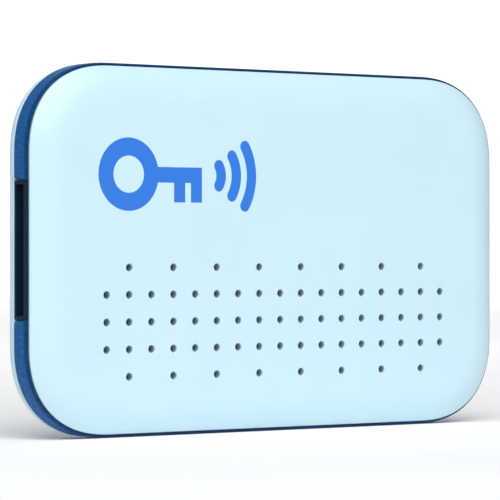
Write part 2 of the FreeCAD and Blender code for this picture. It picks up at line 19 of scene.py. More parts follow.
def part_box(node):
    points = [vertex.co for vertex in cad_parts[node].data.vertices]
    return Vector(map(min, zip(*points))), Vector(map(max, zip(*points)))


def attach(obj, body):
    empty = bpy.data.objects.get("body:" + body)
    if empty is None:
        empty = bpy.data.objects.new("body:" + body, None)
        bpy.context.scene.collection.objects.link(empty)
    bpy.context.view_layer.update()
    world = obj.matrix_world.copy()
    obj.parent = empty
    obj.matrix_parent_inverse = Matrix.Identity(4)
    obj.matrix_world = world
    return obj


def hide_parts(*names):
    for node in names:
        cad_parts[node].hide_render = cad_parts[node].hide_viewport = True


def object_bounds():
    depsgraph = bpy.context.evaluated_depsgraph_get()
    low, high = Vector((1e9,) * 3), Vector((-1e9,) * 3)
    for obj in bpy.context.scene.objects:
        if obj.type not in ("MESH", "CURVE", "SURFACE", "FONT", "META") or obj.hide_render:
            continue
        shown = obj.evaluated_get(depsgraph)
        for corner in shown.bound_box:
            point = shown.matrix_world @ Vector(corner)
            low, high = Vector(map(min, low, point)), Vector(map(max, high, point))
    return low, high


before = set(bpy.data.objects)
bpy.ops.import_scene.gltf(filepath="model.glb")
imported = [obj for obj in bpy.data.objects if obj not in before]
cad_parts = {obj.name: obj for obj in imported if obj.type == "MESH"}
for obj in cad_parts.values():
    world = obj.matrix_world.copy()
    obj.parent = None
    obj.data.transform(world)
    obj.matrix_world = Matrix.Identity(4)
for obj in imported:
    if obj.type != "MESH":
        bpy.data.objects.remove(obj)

CAD_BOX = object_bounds()
LOG = logging.getLogger("tag")
MM = 0.001
FRONT_Y = CAD_BOX[0][1] / MM          # y of the front face
HALF_WIDE = CAD_BOX[1][0] / MM - 0.01  # half sizes of the band's outline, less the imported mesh's margin
HALF_HIGH = CAD_BOX[1][2] / MM - 0.01
THICK = (CAD_BOX[1][1] - CAD_BOX[0][1]) / MM
COVER_IN = 0.27                       # the front cover's outline lies this far inside the band's

Piece, Material, Mesh = bpy.types.Object, bpy.types.Material, bmesh.types.BMesh
Node, Socket = bpy.types.Node, bpy.types.NodeSocket
Colour = tuple[float, float, float, float]
Point2 = tuple[float, float]
Point3 = tuple[float, float, float]
Box = tuple[Vector, Vector]


class Body(str, Enum):
    """The bodies that a piece can ride on."""

    HOUSING = "housing"
    FACE = "press_face"
    REAR = "rear"
    CELL = "coin_cell"


def srgb(red: int, green: int, blue: int) -> Colour:
    """Turns a display colour into the linear one that a shader takes.

    Args:
        red, green, blue: the display colour, 0 to 255.

    Returns:
        The linear colour, with an alpha of 1.
    """

    def linear(value: float) -> float:
        """One channel, from 0 to 1."""
        return value / 12.92 if value <= 0.04045 else ((value + 0.055) / 1.055) ** 2.4

    return linear(red / 255), linear(green / 255), linear(blue / 255), 1.0


# ============================================================================ shader graphs
class Signal:
    """A number that varies over a surface; arithmetic on it adds Math nodes to its graph."""

    def __init__(self, graph: "Graph", socket: Socket) -> None:
        """Wraps a socket of a graph."""
        self.graph = graph
        self.socket = socket

    def __add__(self, other: "Signal | float") -> "Signal":
        """The sum."""
        return self.graph.math("ADD", self, other)

    def __sub__(self, other: "Signal | float") -> "Signal":
        """This less the other."""
        return self.graph.math("SUBTRACT", self, other)

    def __rsub__(self, other: float) -> "Signal":
        """The other less this."""
        return self.graph.math("SUBTRACT", other, self)

    def __mul__(self, other: "Signal | float") -> "Signal":
        """The product."""
        return self.graph.math("MULTIPLY", self, other)

    def __pow__(self, power: float) -> "Signal":
        """This raised to a power."""
        return self.graph.math("POWER", self, power)

    def __abs__(self) -> "Signal":
        """The size without the sign."""
        return self.graph.math("ABSOLUTE", self)

    __radd__ = __add__
    __rmul__ = __mul__

    def sine(self) -> "Signal":
        """The sine of this, in radians."""
        return self.graph.math("SINE", self)

    def ramp(self, low: float, high: float) -> "Signal":
        """Rises smoothly from 0 at low to 1 at high."""
        settings = {"interpolation_type": "SMOOTHSTEP"}
        made = self.graph.node("ShaderNodeMapRange", settings,
                               {"Value": self, "From Min": low, "From Max": high})
        return Signal(self.graph, made.outputs["Result"])


class Graph:
    """One material's node graph round a Principled shader."""

    def __init__(self, name: str) -> None:
        """Starts a material of that name."""
        self.material = bpy.data.materials.new(name)
        self.material.use_nodes = True
        self.tree = self.material.node_tree
        self.tree.nodes.clear()
        self.shader = self.node("ShaderNodeBsdfPrincipled")
        self.node("ShaderNodeOutputMaterial", sockets={"Surface": self.shader.outputs["BSDF"]})
        place = self.node("ShaderNodeTexCoord").outputs["Object"]
        scaled = self.node("ShaderNodeVectorMath", {"operation": "SCALE"}, {0: place, "Scale": 1 / MM})
        self.place = scaled.outputs["Vector"]

    def node(self, kind: str, settings: dict[str, Any] | None = None,
             sockets: dict[str | int, Any] | None = None) -> Node:
        """Adds a node.

        Args:
            kind: the node's type.
            settings: its settings, such as a Math node's operation.
            sockets: what its sockets hold, each a value, a socket or a Signal.

        Returns:
            The node.
        """
        made = self.tree.nodes.new(kind)
        for key, value in (settings or {}).items():
            setattr(made, key, value)
        for key, value in (sockets or {}).items():
            self.feed(made.inputs[key], value)
        return made

    def feed(self, socket: Socket, value: Any) -> None:
        """Puts a value, a socket or a Signal into a socket."""
        if isinstance(value, Signal):
            value = value.socket
        if isinstance(value, Socket):
            self.tree.links.new(value, socket)
        else:
            socket.default_value = value

    def math(self, operation: str, *values: "Signal | float") -> Signal:
        """Adds a Math node over one or two values."""
        made = self.node("ShaderNodeMath", {"operation": operation}, dict(enumerate(values)))
        return Signal(self, made.outputs[0])

    def noise(self, size: float, detail: float = 2.0, rough: float = 0.5,
              place: Socket | None = None) -> Signal:
        """Noise whose features are about the given size.

        Args:
            size: the features' size in millimetres.
            detail: how many finer layers it has.
            rough: how strong the finer layers are.
            place: where it is read, in millimetres; the object's own place by default.

        Returns:
            The noise, about 0.5 with most of it between 0.3 and 0.7.
        """
        sockets = {"Vector": place or self.place, "Scale": 1 / size, "Detail": detail, "Roughness": rough}
        return Signal(self, self.node("ShaderNodeTexNoise", None, sockets).outputs["Fac"])

    def axes(self) -> tuple[Signal, Signal, Signal]:
        """The object's own x, y and z, in millimetres."""
        split = self.node("ShaderNodeSeparateXYZ", None, {0: self.place})
        return tuple(Signal(self, split.outputs[axis]) for axis in "XYZ")

    def radius_about(self, x: float, z: float) -> Signal:
        """The distance from an axis along y, in millimetres."""
        across, _, up = self.axes()
        return ((across - x) ** 2 + (up - z) ** 2) ** 0.5

    def blend(self, amount: Signal, low: Any, high: Any) -> Socket:
        """Mixes two colours by an amount from 0 to 1."""
        made = self.node("ShaderNodeMix", {"data_type": "RGBA"}, {0: amount, 6: low, 7: high})
        return made.outputs[2]

    def bump(self, height: Signal, strength: float = 1.0) -> None:
        """Drives the shader's normal from a height in millimetres."""
        made = self.node("ShaderNodeBump", None, {"Height": height, "Strength": strength, "Distance": MM})
        self.feed(self.shader.inputs["Normal"], made.outputs["Normal"])

    def set(self, **values: Any) -> None:
        """Sets the shader's own sockets: an underscore in a name stands for a space."""
        for name, value in values.items():
            self.feed(self.shader.inputs[name.replace("_", " ")], value)


def tinted(colour: Colour, factor: float) -> Colour:
    """A colour made darker or lighter by a factor."""
    return tuple(min(1.0, channel * factor) for channel in colour[:3]) + (colour[3],)


# ============================================================================ finishes
@dataclass(frozen=True)
class MouldedPlastic:
    """Satin plastic: a fine spark-eroded grain, a slow, faint mottle and, where a hole shade area is given,
    painted shade on the walls of its holes.
    """

    name: str
    colour: Colour
    roughness: float
    grain: float = 0.16
    relief: float = 0.0012
    mottle: float = 0.03
    gloss: float = 0.5
    # where the holes lie whose walls get painted shade, and how dark that painted shade is
    hole_shade_area: tuple[float, float, float, float] | None = None
    painted_hole_shade: float = 0.60

    def material(self) -> Material:
        """Builds the material; a hole shade area is the half width, middle, half height and start depth of a
        field of holes, behind which the colour is painted darker as shade.
        """
        graph = Graph(self.name)
        cloud = graph.noise(6.0, 3.0).ramp(0.3, 0.7)
        colour = graph.blend(cloud, tinted(self.colour, 1 - self.mottle),
                             tinted(self.colour, 1 + self.mottle))
        # painted shade: the hole walls darken with depth behind the front, inside the field of holes
        if self.hole_shade_area:
            half_wide, middle, half_high, start = self.hole_shade_area
            across, depth, up = graph.axes()
            inside = (depth - (FRONT_Y + start)).ramp(0.0, 0.25)
            inside = inside * (half_wide - abs(across)).ramp(0.0, 0.1)
            inside = inside * (half_high - abs(up - middle)).ramp(0.0, 0.1)
            colour = graph.blend(inside, colour, tinted(self.colour, self.painted_hole_shade))
        grain = graph.noise(self.grain, 3.0, 0.6)
        graph.set(Base_Color=colour, Roughness=self.roughness + (grain - 0.5) * 0.18,
                  Specular_IOR_Level=self.gloss)
        graph.bump(grain * self.relief)
        return graph.material


@dataclass(frozen=True)
class FleckedPlastic:
    """Blue satin plastic with fine metal flecks under its surface."""

    name: str
    colour: Colour
    fleck: Colour
    roughness: float
    size: float = 0.20
    # depths over which the painted shade on the shoulder fades out, and how dark it is at the front
    shoulder: tuple[float, float] = (1.25, 1.75)
    shoulder_painted_shade: float = 0.40

    def material(self) -> Material:
        """Builds the material, whose colour is painted darker on the shoulder beside the front cover, as
        shade under the cover's overhang.
        """
        graph = Graph(self.name)
        flecks = graph.noise(self.size, 2.0).ramp(0.46, 0.70)
        # painted shade: colour and flecks darken towards the front of the band, where the front cover
        # overhangs it
        depth = graph.axes()[1] - FRONT_Y
        clear = depth.ramp(*self.shoulder)
        deep = 1 - (1 - clear) * (1 - self.shoulder_painted_shade)
        painted_shade_base = graph.blend(clear, tinted(self.colour, self.shoulder_painted_shade), self.colour)
        colour = graph.blend(flecks * deep * 0.40, painted_shade_base, self.fleck)
        graph.set(Base_Color=colour, Roughness=self.roughness - flecks * 0.10, Metallic=flecks * 0.25,
                  Specular_IOR_Level=0.14)
        graph.bump(graph.noise(0.14, 2.0) * 0.002)
        return graph.material


@dataclass(frozen=True)
class BrushedMetal:
    """Metal with fine lines, round an axis along y or straight along x."""

    name: str
    colour: Colour
    roughness: float
    centre: Point2 | None = None
    line: float = 0.05
    relief: float = 0.0006

    def material(self) -> Material:
        """Builds the material."""
        graph = Graph(self.name)
        across, depth, up = graph.axes()
        run = graph.radius_about(*self.centre) if self.centre else up
        slow = (across * 0.02) if self.centre is None else depth * 0.5
        join = graph.node("ShaderNodeCombineXYZ", None, {0: run, 1: slow, 2: depth * 0.2}).outputs[0]
        lines = graph.noise(self.line, 2.0, 0.6, join)
        stain = graph.noise(3.0, 3.0).ramp(0.35, 0.75)
        colour = graph.blend(stain * 0.5 + lines * 0.3, tinted(self.colour, 1.04), tinted(self.colour, 0.86))
        graph.set(Base_Color=colour, Metallic=1.0,
                  Roughness=self.roughness + (lines - 0.5) * 0.25 + stain * 0.06)
        graph.bump(lines * self.relief)
        return graph.material


@dataclass(frozen=True)
class WovenMesh:
    """A plain-woven dust cloth lying across the xz plane, with painted shade where its threads dip."""

    name: str
    colour: Colour
    pitch: float = 0.16
    relief: float = 0.03

    def material(self) -> Material:
        """Builds the material."""
        graph = Graph(self.name)
        across, _, up = graph.axes()
        turn = math.pi / self.pitch
        warp, weft = (across * turn).sine(), (up * turn).sine()
        over = (warp * weft).ramp(-0.2, 0.2)
        height = abs(warp) * over + abs(weft) * (1 - over)
        # painted shade: the weave is darker where its threads dip, at their edges and between them
        colour = graph.blend(height, tinted(self.colour, 0.35), tinted(self.colour, 1.15))
        graph.set(Base_Color=colour, Roughness=0.75 + (1 - height) * 0.15, Sheen_Weight=0.2)
        graph.bump(height * self.relief)
        return graph.material


@dataclass(frozen=True)
class PlainSurface:
    """A matt or glossy surface with speckle, for rubber, ceramic, ink, chip packages and the like."""

    name: str
    colour: Colour
    roughness: float
    speckle: float = 0.08
    size: float = 0.12
    relief: float = 0.001
    metallic: float = 0.0

    def material(self) -> Material:
        """Builds the material."""
        graph = Graph(self.name)
        fine = graph.noise(self.size, 3.0, 0.6)
        slow = graph.noise(self.size * 14, 2.0).ramp(0.3, 0.7)
        spread = self.speckle
        colour = graph.blend(fine.ramp(0.3, 0.7) * 0.7 + slow * 0.3,
                             tinted(self.colour, 1 - spread), tinted(self.colour, 1 + spread))
        graph.set(Base_Color=colour, Roughness=self.roughness + (fine - 0.5) * 0.15, Metallic=self.metallic)
        graph.bump(fine * self.relief)
        return graph.material


class Paint:
    """The tag's finishes, each built once and shared by its pieces."""

    FINISHES = {
        "cover": MouldedPlastic("pale_satin_cover", srgb(197, 227, 238), 0.42, mottle=0.008),
        # the cover in its field of sound holes, with painted shade on the hole walls
        "drilled": MouldedPlastic("pale_satin_hole_shade", srgb(197, 227, 238), 0.42, mottle=0.008,
                                  hole_shade_area=(19.0, -6.0, 5.2, 0.05)),
        "band": FleckedPlastic("blue_flecked_band", srgb(11, 82, 146), srgb(50, 136, 212), 0.45),
        "chassis": MouldedPlastic("dark_navy_tray", srgb(11, 38, 56), 0.5, 0.12, 0.003, 0.10, 0.12),
        "ink": PlainSurface("blue_print", srgb(42, 118, 216), 0.34, 0.03, 0.07, 0.0006),
        "mesh": WovenMesh("grey_dust_mesh", srgb(84, 102, 112)),
        "foam": PlainSurface("dark_foam", srgb(52, 54, 58), 0.9, 0.35, 0.10, 0.02),
        "rubber": PlainSurface("black_rubber", srgb(30, 30, 31), 0.8, 0.15, 0.10, 0.003),
        "pin": BrushedMetal("turned_pin", srgb(186, 190, 194), 0.28),
        "screw": BrushedMetal("plated_screw", srgb(196, 198, 202), 0.30),
        "cell": BrushedMetal("brushed_cell", srgb(214, 216, 220), 0.24, (11.0, 0.0), 0.06),
        "gasket": PlainSurface("gasket", srgb(58, 60, 64), 0.5),
        "filling": PlainSurface("pressed_filling", srgb(38, 38, 40), 0.85, 0.3),
        "board": PlainSurface("solder_mask", srgb(12, 74, 60), 0.25, 0.10, 0.5, 0.001),
        "track": PlainSurface("masked_track", srgb(26, 104, 82), 0.25, 0.06, 0.5, 0.001),
        "print": PlainSurface("board_print", srgb(226, 228, 224), 0.6, 0.05, 0.2, 0.001),
        "gold": BrushedMetal("gold_flash", srgb(232, 196, 118), 0.25, None, 0.04, 0.0004),
        "tin": PlainSurface("bright_tin", srgb(206, 207, 204), 0.25, 0.06, 0.15, 0.004, 1.0),
        "chip": PlainSurface("chip_package", srgb(44, 44, 47), 0.55, 0.25, 0.05, 0.002),
        "can": BrushedMetal("crystal_can", srgb(212, 210, 205), 0.3),
        "ferrite": PlainSurface("ferrite", srgb(62, 60, 60), 0.6, 0.3, 0.08, 0.004),
        "tan": PlainSurface("tan_ceramic", srgb(176, 146, 108), 0.4, 0.10, 0.08, 0.001),
        "glaze": PlainSurface("black_glaze", srgb(30, 30, 33), 0.25, 0.15, 0.08, 0.001),
        "switch": MouldedPlastic("black_switch", srgb(34, 34, 37), 0.45, 0.10, 0.002, 0.08),
        "plunger": MouldedPlastic("cream_plunger", srgb(222, 218, 204), 0.4, 0.10, 0.001, 0.03),
        "brass": BrushedMetal("rolled_brass", srgb(214, 176, 92), 0.28, None, 0.07),
        "silver": PlainSurface("silvered_ceramic", srgb(214, 212, 204), 0.42, 0.06, 0.10, 0.002, 0.6),
        "contact": BrushedMetal("plated_contact", srgb(214, 204, 178), 0.27, None, 0.05),
    }

    def __init__(self) -> None:
        """Starts with nothing mixed."""
        self.mixed: dict[str, Material] = {}

    def __getitem__(self, key: str) -> Material:
        """The material of that finish."""
        if key not in self.mixed:
            self.mixed[key] = self.FINISHES[key].material()
        return self.mixed[key]


# ============================================================================ mesh work
def piece_from(name: str, bm: Mesh, material: Material,
               smooth_angle: float = 32.0) -> Piece:
    """Turns millimetre mesh data into a piece in metres, with its faces outwards and its edges sharpened.

    Args:
        name: the piece's name.
        bm: the mesh data, which is freed.
        material: its finish.
        smooth_angle: edges that turn by more than this many degrees stay sharp.

    Returns:
        The new object, at the origin.
    """
    bmesh.ops.remove_doubles(bm, verts=bm.verts, dist=1e-5)
    bmesh.ops.recalc_face_normals(bm, faces=bm.faces)
    bmesh.ops.scale(bm, vec=Vector((MM, MM, MM)), verts=bm.verts)
    mesh = bpy.data.meshes.new(name)
    bm.to_mesh(mesh)
    bm.free()
    piece = bpy.data.objects.new(name, mesh)
    bpy.context.scene.collection.objects.link(piece)
    mesh.materials.append(material)
    shade(piece, smooth_angle)
    return piece


def shade(piece: Piece, smooth_angle: float) -> None:
    """Smooths a piece's faces and keeps edges past the angle, in degrees, sharp."""
    piece.data.shade_smooth()
    piece.data.set_sharp_from_angle(angle=math.radians(smooth_angle))


def settle(piece: Piece) -> None:
    """Replaces a piece's mesh with what its modifiers make of it, and drops them."""
    graph = bpy.context.evaluated_depsgraph_get()
    mesh = bpy.data.meshes.new_from_object(piece.evaluated_get(graph), preserve_all_data_layers=True,
                                           depsgraph=graph)
    piece.modifiers.clear()
    piece.data = mesh


def carve(piece: Piece, bm: Mesh, operation: str = "DIFFERENCE") -> None:
    """Cuts mesh data out of a piece, or joins it on with "UNION", in the piece's own finish."""
    tool = piece_from("tool", bm, piece.data.materials[0])
    modifier = piece.modifiers.new("shape", "BOOLEAN")
    modifier.object = tool
    modifier.operation = operation
    modifier.solver = "EXACT"
    settle(piece)
    bpy.data.objects.remove(tool)


def even_normals(piece: Piece, smooth_angle: float = 32.0) -> None:
    """Shades a piece so that its large flat faces stay flat beside their rounded edges."""
    shade(piece, smooth_angle)
    modifier = piece.modifiers.new("normals", "WEIGHTED_NORMAL")
    modifier.keep_sharp = True
    settle(piece)


def add_box(bm: Mesh, low: Sequence[float], high: Sequence[float]) -> list[bmesh.types.BMVert]:
    """Adds a box between two corners, in millimetres, and returns its vertices."""
    made = bmesh.ops.create_cube(bm, size=1.0)["verts"]
    size = [b - a for a, b in zip(low, high)]
    middle = [(a + b) / 2 for a, b in zip(low, high)]
    matrix = Matrix.Translation(Vector(middle)) @ Matrix.Diagonal(Vector((*size, 1)))
    bmesh.ops.transform(bm, matrix=matrix, verts=made)
    return made


def add_loft(bm: Mesh, rings: Sequence[Sequence[Point3]]) -> None:
    """Adds a closed solid that joins equal rings of points, with a flat face at each end, in millimetres."""
    made = [[bm.verts.new(point) for point in ring] for ring in rings]
    bm.faces.new(made[0])
    bm.faces.new(made[-1][::-1])
    for ring, following in zip(made, made[1:]):
        for n in range(len(ring)):
            m = (n + 1) % len(ring)
            bm.faces.new((ring[n], ring[m], following[m], following[n]))


def add_prism(bm: Mesh, outline: Sequence[Point2], near: float, far: float) -> None:
    """Adds a closed prism along y from an outline of (x, z) points, in millimetres."""
    add_loft(bm, [[(x, y, z) for x, z in outline] for y in (near, far)])


def circle(centre: Point2, radius: float, start: float = 0.0, end: float = math.tau,
           steps: int = 48) -> list[Point2]:
    """The steps + 1 points on a circle from one angle, in radians, to another."""
    turns = [start + (end - start) * n / steps for n in range(steps + 1)]
    return [(centre[0] + radius * math.cos(turn), centre[1] + radius * math.sin(turn)) for turn in turns]


def depth_y(depth: float) -> float:
    """The y of a depth behind the front face, in millimetres."""
    return FRONT_Y + depth


def arc(centre: Point2, across: float, deep: float, start: float, end: float, steps: int) -> list[Point2]:
    """Points along an elliptical arc in a profile.

    Args:
        centre: the centre's inset and depth.
        across, deep: the radii along inset and along depth.
        start, end: the angles in degrees, from the outward side (towards smaller inset) to deeper.
        steps: the number of spans.

    Returns:
        The steps + 1 points.
    """
    turns = [math.radians(start + (end - start) * n / steps) for n in range(steps + 1)]
    return [(centre[0] - across * math.cos(turn), centre[1] + deep * math.sin(turn)) for turn in turns]


def eased(points: Sequence[tuple[float, float, float]], wrap: bool, steps: int = 4) -> list[Point2]:
    """Rounds the corners of a profile.

    Args:
        points: (inset, depth, radius) points; a radius of 0 leaves a corner as it is.
        wrap: whether the profile is a closed ring.
        steps: the spans in each rounded corner.

    Returns:
        The profile's points.
    """
    made: list[Point2] = []
    count = len(points)
    for n, (inset, depth, radius) in enumerate(points):
        if radius == 0 or (not wrap and n in (0, count - 1)):
            made.append((inset, depth))
            continue
        here = Vector((inset, depth))
        before = (Vector(points[n - 1][:2]) - here)
        after = (Vector(points[(n + 1) % count][:2]) - here)
        half = before.angle(after) / 2
        reach = min(radius / math.tan(half), before.length * 0.45, after.length * 0.45)
        first, last = here + before.normalized() * reach, here + after.normalized() * reach
        for k in range(steps + 1):
            t = k / steps
            made.append(tuple(first * (1 - t) ** 2 + here * 2 * t * (1 - t) + last * t ** 2))
    return made


@dataclass(frozen=True)
class Outline:
    """The plan outline of the front cover: straight sides joined by smooth, slightly squarish corners."""

    half_wide: float = HALF_WIDE - COVER_IN
    half_high: float = HALF_HIGH - COVER_IN
    inset: float = COVER_IN      # how far this outline lies inside the band's
    corner_wide: float = 8.1
    corner_high: float = 7.5
    power: float = 2.32
    corner_steps: int = 26
    side_steps: int = 12

    def stations(self) -> list[tuple[float, float, float, float]]:
        """Points round the outline.

        Returns:
            The x and z of each point, then the x and z of the outward direction there.
        """
        quarter = []
        for n in range(self.corner_steps + 1):
            turn = math.pi / 2 * n / self.corner_steps
            c, s = max(0.0, math.cos(turn)), max(0.0, math.sin(turn))
            x, z = c ** (2 / self.power), s ** (2 / self.power)
            slope = Vector((x ** (self.power - 1) / self.corner_wide,
                            z ** (self.power - 1) / self.corner_high)).normalized()
            quarter.append((x * self.corner_wide, z * self.corner_high, slope.x, slope.y))
        made = []
        for side_x, side_z in ((1, 1), (-1, 1), (-1, -1), (1, -1)):
            start_x, start_z = self.half_wide - self.corner_wide, self.half_high - self.corner_high
            corner = [(side_x * (start_x + x), side_z * (start_z + z), side_x * nx, side_z * nz)
                      for x, z, nx, nz in quarter]
            made.append(corner if side_x * side_z > 0 else corner[::-1])
        ring = []
        for corner, following in zip(made, made[1:] + made[:1]):
            ring += corner
            last, first = corner[-1], following[0]
            for n in range(1, self.side_steps):
                t = n / self.side_steps
                x, z = (a + (b - a) * t for a, b in zip(last[:2], first[:2]))
                ring.append((x, z, *last[2:]))
        return ring

    def sweep(self, profile: Sequence[Point2], wrap: bool) -> Mesh:
        """Carries a profile round the outline.

        Args:
            profile: (inset, depth) points.
            wrap: True joins the last point to the first; False closes both ends with flat faces.

        Returns:
            The closed mesh, in millimetres.
        """
        bm = bmesh.new()
        rows = []
        for x, z, nx, nz in self.stations():
            row = []
            for inset, depth in profile:
                out = self.inset - inset
                row.append(bm.verts.new((x + nx * out, depth_y(depth), z + nz * out)))
            rows.append(row)
        spans = len(profile) if wrap else len(profile) - 1
        for row, following in zip(rows, rows[1:] + rows[:1]):
            for n in range(spans):
                m = (n + 1) % len(profile)
                bm.faces.new((row[n], row[m], following[m], following[n]))
        if not wrap:
            bm.faces.new([row[0] for row in rows])
            bm.faces.new([row[-1] for row in rows][::-1])
        return bm


class Recipe:
    """A geometry-nodes group built in code, with named inputs."""

    def __init__(self, name: str) -> None:
        """Starts a group with one geometry going in and one coming out."""
        self.tree = bpy.data.node_groups.new(name, "GeometryNodeTree")
        self.tree.is_modifier = True
        self.tree.interface.new_socket("Geometry", in_out="INPUT", socket_type="NodeSocketGeometry")
        self.tree.interface.new_socket("Geometry", in_out="OUTPUT", socket_type="NodeSocketGeometry")
        self.source = self.tree.nodes.new("NodeGroupInput")
        self.sink = self.tree.nodes.new("NodeGroupOutput")
        self.keys: dict[str, str] = {}

    def input(self, label: str, kind: str) -> Socket:
        """Adds a named input, such as a Float or a Material, and returns its socket."""
        socket = self.tree.interface.new_socket(label, in_out="INPUT", socket_type="NodeSocket" + kind)
        self.keys[label] = socket.identifier
        return self.source.outputs[label]

    def node(self, kind: str, settings: dict[str, Any] | None = None,
             sockets: dict[str | int, Any] | None = None) -> Node:
        """Adds a node with its settings and what its sockets hold; several links go to one as a list."""
        made = self.tree.nodes.new(kind)
        for key, value in (settings or {}).items():
            setattr(made, key, value)
        for key, value in (sockets or {}).items():
            for one in value if isinstance(value, list) else [value]:
                if isinstance(one, Socket):
                    self.tree.links.new(one, made.inputs[key])
                else:
                    made.inputs[key].default_value = one
        return made

    def math(self, operation: str, a: Any, b: Any) -> Socket:
        """Adds a Math node and returns its result."""
        return self.node("ShaderNodeMath", {"operation": operation}, {0: a, 1: b}).outputs[0]

    def vector(self, x: Any = 0.0, y: Any = 0.0, z: Any = 0.0) -> Socket:
        """Joins three numbers into a vector."""
        return self.node("ShaderNodeCombineXYZ", None, {0: x, 1: y, 2: z}).outputs[0]

    def finish(self, geometry: Socket, material: Socket) -> None:
        """Ends the group: instances made real, then the material."""
        real = self.node("GeometryNodeRealizeInstances", None, {"Geometry": geometry})
        dressed = self.node("GeometryNodeSetMaterial", None,
                            {"Geometry": real.outputs[0], "Material": material})
        self.tree.links.new(dressed.outputs[0], self.sink.inputs[0])

    def run(self, piece: Piece, values: dict[str, Any]) -> None:
        """Puts the group on a piece with these inputs, and keeps the plain mesh that comes out."""
        modifier = piece.modifiers.new(self.tree.name, "NODES")
        modifier.node_group = self.tree
        for label, value in values.items():
            modifier[self.keys[label]] = value
        settle(piece)


def install(piece: Piece, body: Body, slot: str, *nodes: str) -> Piece:
    """Hands a finished piece to the frame: attaches it to its body and hides the nodes it stands for; the
    slot is not used.
    """
    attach(piece, body.value)
    if nodes:
        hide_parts(*nodes)
    LOG.info("%-22s on %-10s %6d faces", piece.name, body.value, len(piece.data.polygons))
    return piece


# ============================================================================ shells
@dataclass
class FrontCover:
    """The pale front shell, pressed as a button, with its sound holes and its printed mark."""

    roll: float = 3.0
    drop: float = 1.1
    wall: float = 0.8
    land: float = 0.25
    skirt_in: float = 1.15
    skirt_wall: float = 0.6
    skirt_end: float = 1.75
    skirt_gap: float = 6.5
    hole_pitch: float = 2.27
    hole_radius: float = 0.33
    hole_chamfer: float = 0.035
    hole_drop: float = 6.0
    hole_columns: int = 17
    hook_x: float = 12.0
    hook_wide: float = 3.6
    hook_end: float = 2.7
    hook_start: float = 2.35
    hook_lead: float = 0.12
    barb: float = 0.40
    nub: tuple[float, float, float, float] = (-14.0, 6.2, 1.0, 1.40)
    mark_left: float = -19.02
    mark_right: float = -2.65
    mark_middle: float = 6.30
    mark_high: float = 6.1
    shaft: float = 1.30
    key_long: float = 10.6
    tooth: float = 1.15
    tooth_long: float = 1.65
    teeth_apart: float = 2.9
    eye: float = 1.55
    arcs: int = 3
    arc_start: float = 0.4
    arc_spread: float = 31.3
    arc_thick: float = 1.0
    arc_gap: float = 0.62
    ink: float = 0.012

    def profile(self) -> list[Point2]:
        """The shell's section, from the middle of the front round the rim to the inside."""
        radius = (self.roll ** 2 + self.drop ** 2) / (2 * self.drop)
        inner = radius - self.wall
        flat = COVER_IN + self.roll
        fall = math.degrees(math.asin(self.roll / radius))
        under = self.drop + self.land
        skirt_inner = self.skirt_in + self.skirt_wall
        inner_fall = math.degrees(math.asin((flat - skirt_inner) / inner))
        outer_arc = arc((flat, radius), radius, radius, -90, -90 + fall, 20)
        inner_arc = arc((flat, radius), inner, inner, -90 + inner_fall, -90, 10)
        corners = [(flat + 1.0, 0, 0)] + [(i, d, 0) for i, d in outer_arc[:-1]]
        corners += [(COVER_IN, self.drop, 0.12), (COVER_IN, under, 0.05), (self.skirt_in, under, 0.04),
                    (self.skirt_in, self.skirt_end, 0.10), (skirt_inner, self.skirt_end, 0.10)]
        corners += [(i, d, 0) for i, d in inner_arc] + [(flat + 1.0, self.wall, 0)]
        return eased(corners, wrap=False)

    def hole_recipe(self) -> Recipe:
        """A recipe that drills the shell: full rows of holes between two rows of every other hole."""
        recipe = Recipe("sound_holes")
        pitch = recipe.input("Pitch", "Float")
        radius = recipe.input("Radius", "Float")
        chamfer = recipe.input("Chamfer", "Float")
        length = recipe.input("Length", "Float")
        columns = recipe.input("Columns", "Int")
        centre = recipe.input("Centre", "Vector")
        material = recipe.input("Material", "Material")

        wide = recipe.math("MULTIPLY", pitch, recipe.math("SUBTRACT", columns, 1))
        full = recipe.node("GeometryNodeMeshGrid", None, {
            "Size X": wide, "Size Y": recipe.math("MULTIPLY", pitch, 2),
            "Vertices X": columns, "Vertices Y": 3})
        sparse = recipe.node("GeometryNodeMeshGrid", None, {
            "Size X": recipe.math("SUBTRACT", wide, recipe.math("MULTIPLY", pitch, 2)),
            "Size Y": recipe.math("MULTIPLY", pitch, 4),
            "Vertices X": recipe.math("DIVIDE", recipe.math("SUBTRACT", columns, 1), 2), "Vertices Y": 2})
        places = recipe.node("GeometryNodeJoinGeometry", None,
                             {"Geometry": [full.outputs["Mesh"], sparse.outputs["Mesh"]]})

        drill = recipe.node("GeometryNodeMeshCylinder", None,
                            {"Vertices": 28, "Radius": radius, "Depth": length})
        flare = recipe.node("GeometryNodeMeshCone", None, {
            "Vertices": 28, "Radius Bottom": radius, "Depth": recipe.math("MULTIPLY", chamfer, 2),
            "Radius Top": recipe.math("ADD", radius, recipe.math("MULTIPLY", chamfer, 2))})
        sunk = recipe.node("GeometryNodeTransform", None, {
            "Geometry": flare.outputs["Mesh"],
            "Translation": recipe.vector(z=recipe.math("MULTIPLY", chamfer, -1))})
        cutter = recipe.node("GeometryNodeMeshBoolean", {"operation": "UNION", "solver": "EXACT"},
                             {"Mesh 2": [drill.outputs["Mesh"], sunk.outputs[0]]})
        drills = recipe.node("GeometryNodeInstanceOnPoints", None,
                             {"Points": places.outputs[0], "Instance": cutter.outputs["Mesh"]})
        faced = recipe.node("GeometryNodeTransform", None, {
            "Geometry": drills.outputs[0], "Rotation": (math.pi / 2, 0, 0), "Translation": centre})
        real = recipe.node("GeometryNodeRealizeInstances", None, {"Geometry": faced.outputs[0]})
        drilled = recipe.node("GeometryNodeMeshBoolean", {"operation": "DIFFERENCE", "solver": "EXACT"},
                              {"Mesh 1": recipe.source.outputs["Geometry"], "Mesh 2": real.outputs[0]})
        recipe.finish(drilled.outputs["Mesh"], material)
        return recipe

